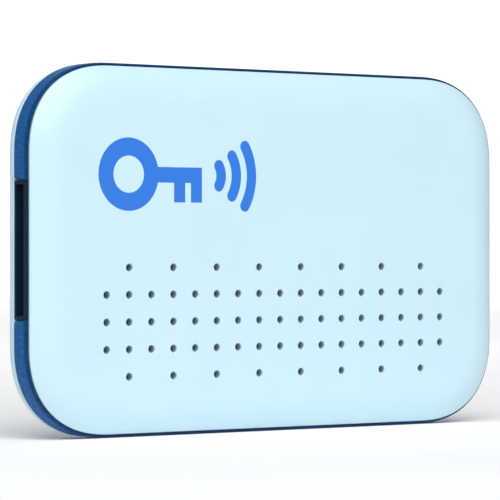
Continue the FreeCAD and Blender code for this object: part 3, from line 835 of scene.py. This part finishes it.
    def build_shell(self, paint: Paint) -> Piece:
        """Makes the drilled shell with its hooks, its switch nub and the gap in its skirt."""
        shell = piece_from("front_shell", Outline().sweep(self.profile(), wrap=False), paint["cover"])

        gap = bmesh.new()
        add_box(gap, (-HALF_WIDE, depth_y(self.drop + self.land), -self.skirt_gap),
                (-HALF_WIDE + 4, depth_y(self.skirt_end + 1), self.skirt_gap))
        carve(shell, gap)

        root, tip = HALF_HIGH - self.skirt_in - 0.02, HALF_HIGH - self.skirt_in - self.skirt_wall
        under, catch = self.drop + self.land, tip - self.barb
        section = [(root, under), (root, self.hook_end), (tip - self.barb * 0.6, self.hook_end),
                   (catch, self.hook_end - self.hook_lead), (catch, self.hook_start), (tip, self.hook_start),
                   (tip, under)]
        for x in (-self.hook_x, self.hook_x):
            for side in (-1, 1):
                hook = bmesh.new()
                add_loft(hook, [[(end, depth_y(d), side * z) for z, d in section]
                                for end in (x - self.hook_wide / 2, x + self.hook_wide / 2)])
                carve(shell, hook, "UNION")

        x, z, radius, end = self.nub
        nub = bmesh.new()
        add_prism(nub, circle((x, z), radius, steps=32)[:-1], depth_y(self.wall - 0.2), depth_y(end))
        carve(shell, nub, "UNION")

        self.hole_recipe().run(shell, {
            "Pitch": self.hole_pitch * MM, "Radius": self.hole_radius * MM, "Chamfer": self.hole_chamfer * MM,
            "Length": (self.wall + 0.3) * 2 * MM, "Columns": self.hole_columns,
            "Centre": (0.0, FRONT_Y * MM, -self.hole_drop * MM), "Material": paint["drilled"]})
        even_normals(shell)
        return install(shell, Body.FACE, "cover_plastic", "front_cover")

    def mark_outlines(self) -> list[list[Point2]]:
        """The printed mark, a key with three radio arcs beyond it, as closed (x, z) outlines."""
        middle, bow = self.mark_middle, self.mark_high / 2
        bow_at = (self.mark_left + bow, middle)
        start = math.asin(self.shaft / 2 / bow)
        low, high, end = middle - self.shaft / 2, middle + self.shaft / 2, self.mark_left + self.key_long
        tooth, down, first = self.tooth, low - self.tooth_long, end - self.teeth_apart
        shaft = [(first, low), (first, down), (first + tooth, down), (first + tooth, low),
                 (end - tooth, low), (end - tooth, down), (end, down), (end, high)]
        outlines = [circle(bow_at, bow, start, math.tau - start, 64) + shaft, circle(bow_at, self.eye)[:-1]]

        heart, spread, thick = (end + self.arc_start, middle), math.radians(self.arc_spread), self.arc_thick
        for n in range(self.arcs):
            outer = self.mark_right - heart[0] - n * (thick + self.arc_gap)
            centre = outer - thick / 2
            tip = (heart[0] + centre * math.cos(spread), middle + centre * math.sin(spread))
            cap = circle(tip, thick / 2, spread, spread + math.pi, 8)[1:-1]
            outlines.append(circle(heart, outer, -spread, spread, 24) + cap
                            + circle(heart, outer - thick, spread, -spread, 24)
                            + [(x, 2 * middle - z) for x, z in reversed(cap)])
        return outlines

    def build_mark(self, paint: Paint) -> Piece:
        """Prints the mark as a film of ink on the flat of the face."""
        curve = bpy.data.curves.new("printed_mark", "CURVE")
        curve.dimensions = "2D"
        curve.fill_mode = "BOTH"
        curve.extrude = self.ink * MM
        for outline in self.mark_outlines():
            spline = curve.splines.new("POLY")
            spline.points.add(len(outline) - 1)
            for point, (x, z) in zip(spline.points, outline):
                point.co = (x * MM, z * MM, 0, 1)
            spline.use_cyclic_u = True
        drawn = bpy.data.objects.new("printed_mark_curve", curve)
        bpy.context.scene.collection.objects.link(drawn)
        graph = bpy.context.evaluated_depsgraph_get()
        mesh = bpy.data.meshes.new_from_object(drawn.evaluated_get(graph), depsgraph=graph)
        bpy.data.objects.remove(drawn)
        mesh.transform(Matrix.Translation((0, FRONT_Y * MM, 0)) @ Matrix.Rotation(math.pi / 2, 4, "X"))
        bm = bmesh.new()
        bm.from_mesh(mesh)
        bmesh.ops.scale(bm, vec=Vector((1 / MM,) * 3), verts=bm.verts)
        return install(piece_from("printed_mark", bm, paint["ink"]), Body.FACE, "band_plastic")

    def build(self, paint: Paint) -> None:
        """Makes the cover's pieces."""
        self.build_shell(paint)
        self.build_mark(paint)


@dataclass
class SideBand:
    """The blue band round the side, open at the lanyard slot."""

    lip: float = 0.20
    lip_top: float = 1.2
    round_end: float = 1.70
    ledge: float = 1.75
    back: float = 3.06
    wall: float = 1.05
    edge: float = 0.06
    slot_half: float = 5.70
    slot_flare: float = 0.22
    slot_bevel: float = 0.06

    def build(self, paint: Paint) -> Piece:
        """Makes the band."""
        shoulder = arc((self.lip, self.round_end), self.lip, self.round_end - self.lip_top, -84, 0, 10)
        corners = [(i, d, 0) for i, d in shoulder]
        corners += [(0, self.back, self.edge), (self.wall, self.back, 0.04), (self.wall, self.ledge, 0.04),
                    (self.lip, self.ledge, 0), (self.lip, self.lip_top, 0.0)]
        band = piece_from("side_band", Outline().sweep(eased(corners, wrap=True), wrap=True), paint["band"])
        half, left, bevel = self.slot_half, -HALF_WIDE, self.slot_bevel
        wide = half + self.slot_flare
        front, rear = depth_y(self.lip_top) - 0.1, depth_y(self.back) + 0.1
        mouth = ((front, half, 1), (rear, wide, 1), (rear, wide, -1), (front, half, -1))
        slot = bmesh.new()
        add_loft(slot, [[(x, y, side * (z + spread)) for y, z, side in mouth] for x, spread in
                        ((left - 1, 1 + bevel), (left, bevel), (left + bevel, 0.0), (left + 3, 0.0))])
        carve(band, slot)
        even_normals(band)
        return install(band, Body.HOUSING, "band_plastic", "mid_frame")


@dataclass
class BackCover:
    """The pale rear shell: a rounded pillow with a flat back, ribs inside, a pry notch and a slot relief."""

    start: float = 3.11
    bevel_in: float = 0.12
    bevel_deep: float = 0.13
    roll: float = 5.7
    wall: float = 0.90
    fit: float = 0.95
    notch_half: float = 3.5
    notch_deep: float = 0.55
    notch_high: float = 0.45
    relief: float = 0.06
    relief_half: float = 5.85
    relief_high: float = 2.0
    rib_x: tuple[float, ...] = (-16.0, -10.5, -5.0)
    rib: tuple[float, float, float] = (0.7, 20.0, 0.7)

    def profile(self) -> list[Point2]:
        """The shell's section, from the middle of the back round the rim to the inside."""
        rim = self.start + self.bevel_deep
        inner_end = THICK - self.wall
        outer = arc((self.roll, rim), self.roll, THICK - rim, 90, 0, 34)
        inner = arc((self.roll, rim), self.roll - self.fit, inner_end - rim, 0, 90, 20)
        corners = [(i, d, 0) for i, d in outer[:-1]]
        corners += [(0, rim, 0.03), (self.bevel_in, self.start, 0.02), (self.fit, self.start, 0.05)]
        corners += [(i, d, 0) for i, d in inner]
        return eased(corners, wrap=False)

    def build(self, paint: Paint) -> Piece:
        """Makes the shell."""
        shell = piece_from("rear_shell", Outline().sweep(self.profile(), wrap=False), paint["cover"])
        inner_y = depth_y(THICK - self.wall)
        wide, high, deep = self.rib
        for x in self.rib_x:
            bm = bmesh.new()
            add_box(bm, (x - wide / 2, inner_y - deep, -high / 2), (x + wide / 2, inner_y + 0.2, high / 2))
            carve(shell, bm, "UNION")
        front = depth_y(self.start - 0.1)
        notch = ((HALF_WIDE - self.notch_deep, front, -self.notch_half),
                 (HALF_WIDE + 1, depth_y(self.start + self.notch_high), self.notch_half))
        relief = ((-HALF_WIDE - 1, front, -self.relief_half),
                  (-HALF_WIDE + self.relief, depth_y(self.start + self.relief_high), self.relief_half))
        for low, high in (notch, relief):
            bm = bmesh.new()
            add_box(bm, low, high)
            carve(shell, bm)
        even_normals(shell)
        return install(shell, Body.REAR, "cover_plastic", "back_cover")


# ============================================================================ inside the tag
def lumps(node: str) -> list[Box]:
    """Finds the separate lumps that a node is made of.

    Args:
        node: the node's name.

    Returns:
        The low and high corners of each lump, in millimetres, ordered up the board and then across.
    """
    bm = bmesh.new()
    bm.from_mesh(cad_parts[node].data)
    bmesh.ops.remove_doubles(bm, verts=bm.verts, dist=1e-6)
    left = dict.fromkeys(bm.verts)
    found = []
    while left:
        wave, group = [left.popitem()[0]], []
        while wave:
            vert = wave.pop()
            group.append(vert.co / MM)
            for edge in vert.link_edges:
                other = edge.other_vert(vert)
                if other in left:
                    del left[other]
                    wave.append(other)
        found.append((Vector(map(min, *group)), Vector(map(max, *group))))
    bm.free()
    return sorted(found, key=lambda box: (round(box[0].z, 2), round(box[0].x, 2)))


def node_box(node: str) -> Box:
    """A node's low and high corners, in millimetres."""
    low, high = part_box(node)
    return Vector(low) / MM, Vector(high) / MM


def middle_of(box: Box, y: float | None = None) -> Point3:
    """The middle of a box in x and z, at its own low y or at the one given, in millimetres."""
    low, high = box
    return (low.x + high.x) / 2, low.y if y is None else y, (low.z + high.z) / 2


def add_block(bm: Mesh, low: Sequence[float], high: Sequence[float], edge: float) -> None:
    """Adds a box between two corners with its edges rounded, in millimetres."""
    verts = add_box(bm, low, high)
    edges = list(dict.fromkeys(e for vert in verts for e in vert.link_edges))
    bmesh.ops.bevel(bm, geom=edges, offset=edge, segments=2, profile=0.5, affect="EDGES", clamp_overlap=True)


def add_turned(bm: Mesh, section: Sequence[Point2], centre: Point2 = (0.0, 0.0),
               steps: int = 32) -> None:
    """Adds a solid turned about y.

    Args:
        bm: the mesh data it goes into.
        section: (radius, y) points that start and end on the axis.
        centre: the axis, as (x, z).
        steps: faces round the axis.
    """
    rings = []
    for radius, y in section:
        around = circle(centre, radius, steps=steps)[:-1] if radius > 0 else [centre]
        rings.append([bm.verts.new((x, y, z)) for x, z in around])
    for low, high in zip(rings, rings[1:]):
        for n in range(steps):
            m = (n + 1) % steps
            ring = [low[n % len(low)], low[m % len(low)], high[m % len(high)], high[n % len(high)]]
            bm.faces.new(list(dict.fromkeys(ring)))


def copies(name: str, part: Mesh, places: Sequence[Sequence[float]],
           material: Material, turn: float = 0.0) -> Piece:
    """Sets copies of one part at some places.

    Args:
        name: the finished piece's name.
        part: the part, about the origin, in millimetres.
        places: where the copies go, in millimetres.
        material: their finish.
        turn: how far each may be turned about y either way, in radians.

    Returns:
        All the copies as one piece.
    """
    recipe = Recipe(name)
    shape = recipe.input("Part", "Object")
    swing = recipe.input("Turn", "Float")
    seed = recipe.input("Seed", "Int")
    finish = recipe.input("Material", "Material")
    info = recipe.node("GeometryNodeObjectInfo", None, {"Object": shape})
    chance = recipe.node("FunctionNodeRandomValue", {"data_type": "FLOAT"},
                         {2: recipe.math("MULTIPLY", swing, -1), 3: swing, "Seed": seed})
    spots = recipe.node("GeometryNodeInstanceOnPoints", None, {
        "Points": recipe.source.outputs["Geometry"], "Instance": info.outputs["Geometry"],
        "Rotation": recipe.vector(y=chance.outputs[1])})
    recipe.finish(spots.outputs[0], finish)

    pattern = piece_from(name + "_part", part, material)
    points = bmesh.new()
    for place in places:
        points.verts.new(place)
    piece = piece_from(name, points, material)
    recipe.run(piece, {"Part": pattern, "Turn": turn, "Seed": 4, "Material": material})
    bpy.data.objects.remove(pattern)
    return piece


def fit(paint: Paint, name: str, bm: Mesh, finish: str, slot: str, *nodes: str) -> None:
    """Makes a piece from mesh data and installs it on the housing."""
    install(piece_from(name, bm, paint[finish]), Body.HOUSING, slot, *nodes)


def fit_copies(paint: Paint, name: str, part: Mesh, places: Sequence[Point3], finish: str,
               slot: str, *nodes: str, turn: float = 0.0) -> None:
    """Sets copies of a part at some places and installs them on the housing as one piece."""
    install(copies(name, part, places, paint[finish], turn), Body.HOUSING, slot, *nodes)


@dataclass
class ChipParts:
    """The two-ended parts on the board: small blocks with tinned ends."""

    end: float = 0.22            # length of each tinned end
    overlap: float = 0.6         # share of an end that covers the body
    inset: float = 0.015
    corner: float = 0.035

    def build_kind(self, paint: Paint, node: str, finish: str, slot: str) -> None:
        """Builds the bodies and the ends of one kind, placed where the node's lumps are."""
        boxes = lumps(node)
        size = boxes[0][1] - boxes[0][0]
        places = [middle_of(box) for box in boxes]
        wide, high, deep = size.x / 2, size.z / 2, size.y
        body = bmesh.new()
        reach = wide - self.end * self.overlap
        add_block(body, (-reach, 0.02, -high + self.inset), (reach, deep - self.inset, high - self.inset),
                  self.corner)
        fit_copies(paint, node + "_bodies", body, places, finish, slot, node)
        ends = bmesh.new()
        for side in (-1, 1):
            low_x, high_x = sorted((side * wide, side * (wide - self.end)))
            add_block(ends, (low_x, 0, -high), (high_x, deep, high), self.corner)
        fit_copies(paint, node + "_ends", ends, places, "tin", "contact_metal")

    def build(self, paint: Paint) -> None:
        """Builds both kinds."""
        self.build_kind(paint, "capacitors", "tan", "capacitor_body")
        self.build_kind(paint, "resistors", "glaze", "resistor_body")


@dataclass
class Packages:
    """The chips, the crystal cans and the inductor."""

    corner: float = 0.06
    dimple: float = 0.28
    dimple_in: float = 0.55
    dimple_deep: float = 0.05
    pads_a_side: int = 8
    pad_high: float = 0.20
    pad_share: float = 0.55      # a pad's width as a share of the pitch
    leg_pitch: float = 0.65
    leg_wide: float = 0.25
    leg_sheet: float = 0.16
    leg_bend: float = 0.18       # where a leg bends down, beyond the body
    lift: float = 0.1
    foot_share: float = 0.35     # a crystal's foot as a share of its height
    lid: float = 0.12
    flange: float = 0.04
    cut: float = 0.3             # the inductor's cut corners, groove and drum, as shares of its half width
    groove: float = 0.84
    groove_deep: float = 0.12
    drum: float = 0.74
    land: float = 0.55

    def chip_body(self, paint: Paint, node: str, low: Vector, high: Vector) -> None:
        """A moulded package with a round dimple by its first pin."""
        bm = bmesh.new()
        add_block(bm, low, high, self.corner)
        body = piece_from(node + "_package", bm, paint["chip"])
        spot = bmesh.new()
        floor, above = high.y - self.dimple_deep, high.y + 0.02
        add_turned(spot, [(0, floor), (self.dimple * 0.7, floor), (self.dimple, above), (0, above)],
                   (low.x + self.dimple_in, high.z - self.dimple_in))
        carve(body, spot)
        shade(body, 32)
        install(body, Body.HOUSING, "chip_black", node)

    def leadless(self, paint: Paint, node: str, pads: int) -> None:
        """A leadless chip: pads show along the foot of all four sides."""
        low, high = node_box(node)
        self.chip_body(paint, node, low + Vector((0.01, 0.01, 0.01)), high - Vector((0.01, 0, 0.01)))
        middle = (low + high) / 2
        pitch = (high.x - low.x) / (pads + 1.5)
        places = []
        for n in range(pads):
            off = (n - (pads - 1) / 2) * pitch
            places += [(low.x, low.y, middle.z + off), (high.x, low.y, middle.z + off),
                       (middle.x + off, low.y, low.z), (middle.x + off, low.y, high.z)]
        wide = pitch * self.pad_share
        bm = bmesh.new()
        add_block(bm, (-wide / 2, 0.0, -wide / 2), (wide / 2, self.pad_high, wide / 2), 0.03)
        fit_copies(paint, node + "_pads", bm, places, "tin", "contact_metal")

    def legged(self, paint: Paint, node: str) -> None:
        """A chip with four bent legs on each of two sides."""
        low, high = node_box(node)
        along_x = high.x - low.x > high.z - low.z
        half = min(high.x - low.x, high.z - low.z) / 2
        reach = max(high.x - low.x, high.z - low.z) / 2
        middle = (low + high) / 2
        self.chip_body(paint, node, Vector((middle.x - half, low.y + self.lift, middle.z - half)),
                       Vector((middle.x + half, high.y, middle.z + half)))
        sheet, rise, root, bend = self.leg_sheet, (high.y - low.y) * 0.5, half - 0.2, half + self.leg_bend
        shape = [(root, rise + sheet), (bend, rise + sheet), (bend + 0.12, sheet), (reach, sheet),
                 (reach, 0.0), (bend, 0.0), (bend - 0.12, rise), (root, rise)]
        bm = bmesh.new()
        for side in (-1, 1):
            add_loft(bm, [[(side * run, y, edge) if along_x else (edge, y, side * run) for run, y in shape]
                          for edge in (-self.leg_wide / 2, self.leg_wide / 2)])
        offs = [(n - 1.5) * self.leg_pitch for n in range(4)]
        places = [(middle.x, low.y, middle.z + off) if along_x else (middle.x + off, low.y, middle.z)
                  for off in offs]
        fit_copies(paint, node + "_legs", bm, places, "tin", "contact_metal")

    def crystal(self, paint: Paint, node: str) -> None:
        """A crystal: a ceramic foot under a drawn metal lid."""
        low, high = node_box(node)
        step = low.y + (high.y - low.y) * self.foot_share
        foot = bmesh.new()
        add_block(foot, low, (high.x, step, high.z), 0.04)
        fit(paint, node + "_foot", foot, "tan", "crystal_can", node)
        lid = bmesh.new()
        add_block(lid, (low.x + self.lid, step - 0.03, low.z + self.lid),
                  (high.x - self.lid, high.y, high.z - self.lid), 0.10)
        add_block(lid, (low.x + self.flange, step - 0.02, low.z + self.flange),
                  (high.x - self.flange, step + 0.05, high.z - self.flange), 0.02)
        fit(paint, node + "_lid", lid, "can", "crystal_can")

    def inductor(self, paint: Paint, node: str) -> None:
        """A shielded inductor: a ferrite block with a ring groove round its drum, on two end pads."""
        low, high = node_box(node)
        middle = ((low.x + high.x) / 2, (low.z + high.z) / 2)
        half = (high.x - low.x) / 2
        top, cut, groove, drum = high.y, half * self.cut, half * self.groove, half * self.drum
        flat = half - cut
        corners = [(half, flat), (flat, half), (-flat, half), (-half, flat),
                   (-half, -flat), (-flat, -half), (flat, -half), (half, -flat)]
        bm = bmesh.new()
        add_prism(bm, [(middle[0] + x, middle[1] + z) for x, z in corners], low.y, top)
        block = piece_from(node + "_block", bm, paint["ferrite"])
        floor = top - self.groove_deep
        ring = bmesh.new()
        add_turned(ring, [(0, floor), (groove, floor), (groove, top + 0.1), (0, top + 0.1)], middle, 48)
        carve(block, ring)
        core = bmesh.new()
        add_turned(core, [(0, top - 0.3), (drum, top - 0.3), (drum, top - 0.04), (drum - half * 0.04, top),
                          (0, top)], middle, 48)
        carve(block, core, "UNION")
        shade(block, 32)
        install(block, Body.HOUSING, "ferrite", node)
        pads = bmesh.new()
        for side in (-1, 1):
            low_x, high_x = sorted((middle[0] + side * (half + 0.04), middle[0] + side * half * 0.6))
            add_block(pads, (low_x, low.y, middle[1] - half * self.land),
                      (high_x, low.y + 0.25, middle[1] + half * self.land), 0.04)
        fit(paint, node + "_pads", pads, "tin", "contact_metal")

    def build(self, paint: Paint) -> None:
        """Builds every package."""
        self.leadless(paint, "radio_chip", self.pads_a_side)
        self.leadless(paint, "driver_chip", 3)
        self.legged(paint, "flash_chip")
        self.crystal(paint, "main_crystal")
        self.crystal(paint, "clock_crystal")
        self.inductor(paint, "boost_inductor")


@dataclass
class BoardWork:
    """Screws, test pads, vias, tracks and the printed outlines on the circuit board."""

    cross_long: float = 1.3
    cross_wide: float = 0.3
    cross_deep: float = 0.33
    cross_turn: float = 0.7      # how far a cross may point off square, in radians
    thread: float = 0.14
    root: float = 0.82           # the thread's root as a share of the shank's radius
    via_radius: float = 0.22
    via_hole: float = 0.11
    via_step: float = 2.0
    via_margin: float = 6.0      # clear of the board's corners
    via_low: float = 0.5         # in from the lower edge
    via_left: float = 0.6        # in from the left edge
    track_wide: float = 0.16
    track_thick: float = 0.02
    track_fall: float = 1.6      # how far the first track runs below its pad
    track_step: float = 0.5
    track_turn: float = 1.2
    outline_gap: float = 0.22
    outline_wide: float = 0.10
    outline_thick: float = 0.012

    def build_screws(self, paint: Paint) -> None:
        """Pan-head screws with a cross in the head and a threaded shank."""
        boxes = lumps("board_screws")
        low, high = boxes[0]
        start, seat, top = low.y, node_box("circuit_board")[1].y, high.y
        head = (high.x - low.x) / 2
        shank = head / 2
        root = shank * self.root
        section = [(0, start), (shank * 0.7, start)]
        for n in range(int((seat - start) / self.thread)):
            section += [(radius, start + (n + share) * self.thread)
                        for radius, share in ((root, 0.1), (shank, 0.5), (root, 0.9))]
        section += [(root, seat), (head * 0.97, seat), (head, seat + 0.06), (head * 0.98, top - 0.22),
                    (head * 0.88, top - 0.09), (head * 0.66, top - 0.02), (head * 0.4, top), (0, top)]
        bm = bmesh.new()
        add_turned(bm, section, steps=36)
        screw = piece_from("screw", bm, paint["screw"])
        for wide, tall in ((self.cross_long, self.cross_wide), (self.cross_wide, self.cross_long)):
            bar = bmesh.new()
            add_box(bar, (-wide / 2, top - self.cross_deep, -tall / 2), (wide / 2, top + 0.2, tall / 2))
            carve(screw, bar)
        shaped = bmesh.new()
        shaped.from_mesh(screw.data)
        bmesh.ops.scale(shaped, vec=Vector((1 / MM, 1 / MM, 1 / MM)), verts=shaped.verts)
        bpy.data.objects.remove(screw)
        places = [middle_of(box, 0.0) for box in boxes]
        fit_copies(paint, "screws", shaped, places, "screw", "screw_steel", "board_screws",
                   turn=self.cross_turn)

    def build_pads(self, paint: Paint) -> list[Box]:
        """Test pads, slightly domed with solder; returns their boxes."""
        boxes = lumps("test_pads")
        low, high = boxes[0]
        radius, thick = (high.x - low.x) / 2, high.y - low.y
        bm = bmesh.new()
        add_turned(bm, [(0, 0), (radius, 0), (radius, thick * 0.5), (radius * 0.9, thick * 0.9),
                        (radius * 0.6, thick * 1.3), (0, thick * 1.5)])
        places = [middle_of(box) for box in boxes]
        fit_copies(paint, "tinned_test_pads", bm, places, "tin", "copper", "test_pads")
        return boxes

    def build_vias(self, paint: Paint) -> None:
        """A row of plated holes along the board's lower edge and left edge."""
        low, high = node_box("circuit_board")
        radius, hole, lift = self.via_radius, self.via_hole, self.track_thick
        bm = bmesh.new()
        add_turned(bm, [(0, -0.02), (radius, -0.02), (radius, lift * 0.6), (radius * 0.9, lift),
                        (hole * 1.15, lift), (hole, lift * 0.5), (0, lift * 0.25)], steps=20)
        count = int((high.x - low.x - 2 * self.via_margin) / self.via_step)
        places = [(low.x + self.via_margin + n * self.via_step, high.y, low.z + self.via_low)
                  for n in range(count)]
        places += [(low.x + self.via_left, high.y, n * self.via_step) for n in range(-3, 4)]
        fit_copies(paint, "vias", bm, places, "gold", "copper")

    def build_tracks(self, paint: Paint, pads: Sequence[Box]) -> None:
        """Tracks under the mask, from each test pad up to the radio chip and down to the edge."""
        back = node_box("circuit_board")[1].y
        chip_low, chip_high = node_box("radio_chip")
        bm = bmesh.new()
        for n, (low, high) in enumerate(sorted(pads, key=lambda box: box[0].x)):
            x, z = (low.x + high.x) / 2, high.z - 0.1
            to = chip_low.x + (chip_high.x - chip_low.x) * (n + 1) / (len(pads) + 1)
            lean = abs(to - x)
            turn_z = z + 1.0 + n * 0.2
            self.add_track(bm, back, [(x, z), (x, turn_z), (to, turn_z + lean), (to, chip_low.z + 0.1)])
            fall = low.z - self.track_fall - self.track_step * (len(pads) - 1 - n)
            foot = fall - self.track_turn
            self.add_track(bm, back, [(x, low.z + 0.1), (x, fall), (x + self.track_turn, foot),
                                      (chip_high.x + 2.0, foot)])
        fit(paint, "board_tracks", bm, "track", "board_laminate")

    def add_track(self, bm: Mesh, back: float, path: Sequence[Point2]) -> None:
        """Adds one track as joined straight runs with round elbows."""
        half, top = self.track_wide / 2, back + self.track_thick
        for (x0, z0), (x1, z1) in zip(path, path[1:]):
            run = math.hypot(x1 - x0, z1 - z0)
            if run > 0.01:
                side_x, side_z = -(z1 - z0) / run * half, (x1 - x0) / run * half
                add_prism(bm, [(x0 + side_x, z0 + side_z), (x1 + side_x, z1 + side_z),
                               (x1 - side_x, z1 - side_z), (x0 - side_x, z0 - side_z)], back - 0.02, top)
        for x, z in path[1:-1]:
            add_turned(bm, [(0, back - 0.02), (half, back - 0.02), (half, top), (0, top)], (x, z), 12)

    def build_outlines(self, paint: Paint, nodes: Sequence[str]) -> None:
        """Thin printed outlines on the board round each of the larger parts."""
        back = node_box("circuit_board")[1].y
        gap, wide, low_y, high_y = self.outline_gap, self.outline_wide, back - 0.01, back + self.outline_thick
        bm = bmesh.new()
        for node in nodes:
            low, high = node_box(node)
            x0, x1, z0, z1 = low.x - gap, high.x + gap, low.z - gap, high.z + gap
            lines = ((x0 - wide, x1 + wide, z0 - wide, z0), (x0 - wide, x1 + wide, z1, z1 + wide),
                     (x0 - wide, x0, z0, z1), (x1, x1 + wide, z0, z1))
            for left, right, foot, head in lines:
                add_box(bm, (left, low_y, foot), (right, high_y, head))
        fit(paint, "board_outlines", bm, "print", "board_laminate")

    def build(self, paint: Paint) -> None:
        """Builds it all."""
        self.build_screws(paint)
        pads = self.build_pads(paint)
        self.build_vias(paint)
        self.build_tracks(paint, pads)
        self.build_outlines(paint, ("radio_chip", "flash_chip", "driver_chip"))


@dataclass
class CellMark:
    """The raised plus sign on the flat of the coin cell's can."""

    arm: float = 1.6
    wide: float = 0.5
    lift: float = 0.02
    up: float = 5.5

    def build(self, paint: Paint) -> None:
        """Builds the sign as one closed outline."""
        low, high = node_box("battery_can")
        x, z = (low.x + high.x) / 2, (low.z + high.z) / 2 + self.up
        a, w = self.arm, self.wide / 2
        shape = [(w, w), (w, a), (-w, a), (-w, w), (-a, w), (-a, -w),
                 (-w, -w), (-w, -a), (w, -a), (w, -w), (a, -w), (a, w)]
        bm = bmesh.new()
        add_prism(bm, [(x + dx, z + dz) for dx, dz in shape], high.y - 0.02, high.y + self.lift)
        install(piece_from("plus_sign", bm, paint["cell"]), Body.CELL, "cell_steel")


# ============================================================================ carried-over nodes
CAD_FINISHES = {
    "front_cover": "cover", "mid_frame": "band", "back_cover": "cover",
    "speaker_mesh": "mesh", "battery_pad": "foam", "chassis": "chassis", "lanyard_pin": "pin",
    "battery_can": "cell", "battery_gasket": "gasket", "battery_cap": "cell", "battery_filling": "filling",
    "circuit_board": "board", "antenna_trace": "gold", "radio_chip": "chip", "flash_chip": "chip",
    "driver_chip": "chip", "main_crystal": "can", "clock_crystal": "can", "boost_inductor": "ferrite",
    "capacitors": "tan", "resistors": "glaze", "test_pads": "gold", "board_screws": "screw",
    "switch_body": "switch", "switch_plunger": "plunger", "buzzer_plate": "brass",
    "buzzer_ceramic": "silver", "buzzer_ring": "rubber", "buzzer_contacts": "contact",
    "negative_contact": "contact", "positive_contact": "contact",
}


def dress_nodes(paint: Paint) -> None:
    """Gives every node that came with the frame its own finish."""
    for node, finish in CAD_FINISHES.items():
        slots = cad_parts[node].data.materials
        slots.clear()
        slots.append(paint[finish])
        LOG.info("%-22s dressed as %s", node, finish)


# ============================================================================ studio
@dataclass
class Studio:
    """Camera, lights, floor and backdrop; the floor and backdrop carry painted light as a glow graded by
    place.
    """

    azimuth: float = -37.34
    distance: float = 265.7
    aim: tuple[float, float, float] = (-0.965, 0.07, 0.0)
    lens: float = 220.4
    floor_gap: float = 0.02
    room: float = 1200.0
    bend: float = 300.0          # radius of the sweep from the floor to the backdrop
    bend_steps: int = 16
    rise: float = 900.0
    sky: float = 0.22
    key_watts: float = 8.3
    key_place: Point3 = (-230, -490, 610)
    key_size: float = 900
    # painted light: the floor and backdrop glow, little just in front of the tag, more far behind it and less
    # to the sides, so they read white while the near floor keeps its shadow
    near_glow: float = 0.04
    near_fade: Point2 = (-200.0, -60.0)  # each fade is where a glow rises, in millimetres beyond the tag
    floor_glow: float = 0.26
    floor_fade: Point2 = (10.0, 260.0)
    wall_glow: float = 0.40
    wall_fade: Point2 = (260.0, 900.0)
    side_fade: Point2 = (130.0, 420.0)

    def place_camera(self) -> None:
        """Stands the camera level with the tag's middle, round to its left."""
        turn = math.radians(self.azimuth)
        aim = Vector(self.aim) * MM
        away = Vector((math.sin(turn), -math.cos(turn), 0)) * self.distance * MM
        data = bpy.data.cameras.new("camera")
        data.lens = self.lens
        data.clip_start = 0.005
        camera = bpy.data.objects.new("camera", data)
        camera.location = aim + away
        camera.rotation_euler = (-away).to_track_quat("-Z", "Y").to_euler()
        bpy.context.scene.collection.objects.link(camera)
        bpy.context.scene.camera = camera

    def softbox(self, name: str, place: Sequence[float], size: float, watts: float) -> None:
        """Hangs a square soft light that faces the tag; place and size are in millimetres."""
        data = bpy.data.lights.new(name, "AREA")
        data.size = size * MM
        data.energy = watts
        light = bpy.data.objects.new(name, data)
        light.location = Vector(place) * MM
        light.rotation_euler = (-light.location).to_track_quat("-Z", "Y").to_euler()
        bpy.context.scene.collection.objects.link(light)

    def build(self) -> None:
        """Sets everything up."""
        self.place_camera()
        scene = bpy.context.scene
        scene.view_settings.view_transform = "Standard"
        world = bpy.data.worlds.new("world")
        scene.world = world
        world.use_nodes = True
        sky = world.node_tree.nodes["Background"]
        sky.inputs["Color"].default_value = (1, 1, 1, 1)
        sky.inputs["Strength"].default_value = self.sky
        self.softbox("key_light", self.key_place, self.key_size, self.key_watts)

        graph = Graph("pale_floor")
        speck = graph.noise(40.0, 2.0).ramp(0.3, 0.7)
        across, back, _ = graph.axes()
        turn = math.radians(self.azimuth)
        ahead = back * math.cos(turn) - across * math.sin(turn)
        aside = abs(across * math.cos(turn) + back * math.sin(turn))
        # painted light: the floor glows more the farther it lies beyond the tag along the view, and less off
        # to the sides
        glow = ahead.ramp(*self.near_fade) * self.near_glow + ahead.ramp(*self.floor_fade) * self.floor_glow
        glow = glow + ahead.ramp(*self.wall_fade) * self.wall_glow
        glow = glow * (1 - aside.ramp(*self.side_fade))
        graph.set(Base_Color=graph.blend(speck, srgb(249, 250, 251), srgb(252, 253, 254)), Roughness=0.9,
                  Specular_IOR_Level=0.1, Emission_Color=graph.blend(glow, (0, 0, 0, 1), (1, 1, 1, 1)),
                  Emission_Strength=1.0)
        bm = bmesh.new()
        floor_z = CAD_BOX[0][2] / MM - self.floor_gap
        bend, room, steps = self.bend, self.room, self.bend_steps
        path = [(-room, floor_z), (room - bend, floor_z)]
        path += [(room - bend + bend * math.sin(a), floor_z + bend * (1 - math.cos(a)))
                 for a in (math.pi / 2 * n / steps for n in range(1, steps + 1))]
        path.append((room, floor_z + self.rise))
        rows = [[bm.verts.new((x, y, z)) for y, z in path] for x in (-room, room)]
        for n in range(len(path) - 1):
            bm.faces.new((rows[0][n], rows[1][n], rows[1][n + 1], rows[0][n + 1]))
        floor = piece_from("studio_floor", bm, graph.material, 60)


def main() -> None:
    """Builds every sub-assembly in order."""
    logging.basicConfig(level=logging.INFO, format="%(name)s: %(message)s")
    paint = Paint()
    Studio().build()
    dress_nodes(paint)
    FrontCover().build(paint)
    SideBand().build(paint)
    BackCover().build(paint)
    ChipParts().build(paint)
    Packages().build(paint)
    BoardWork().build(paint)
    CellMark().build(paint)


if __name__ == "__main__":
    main()
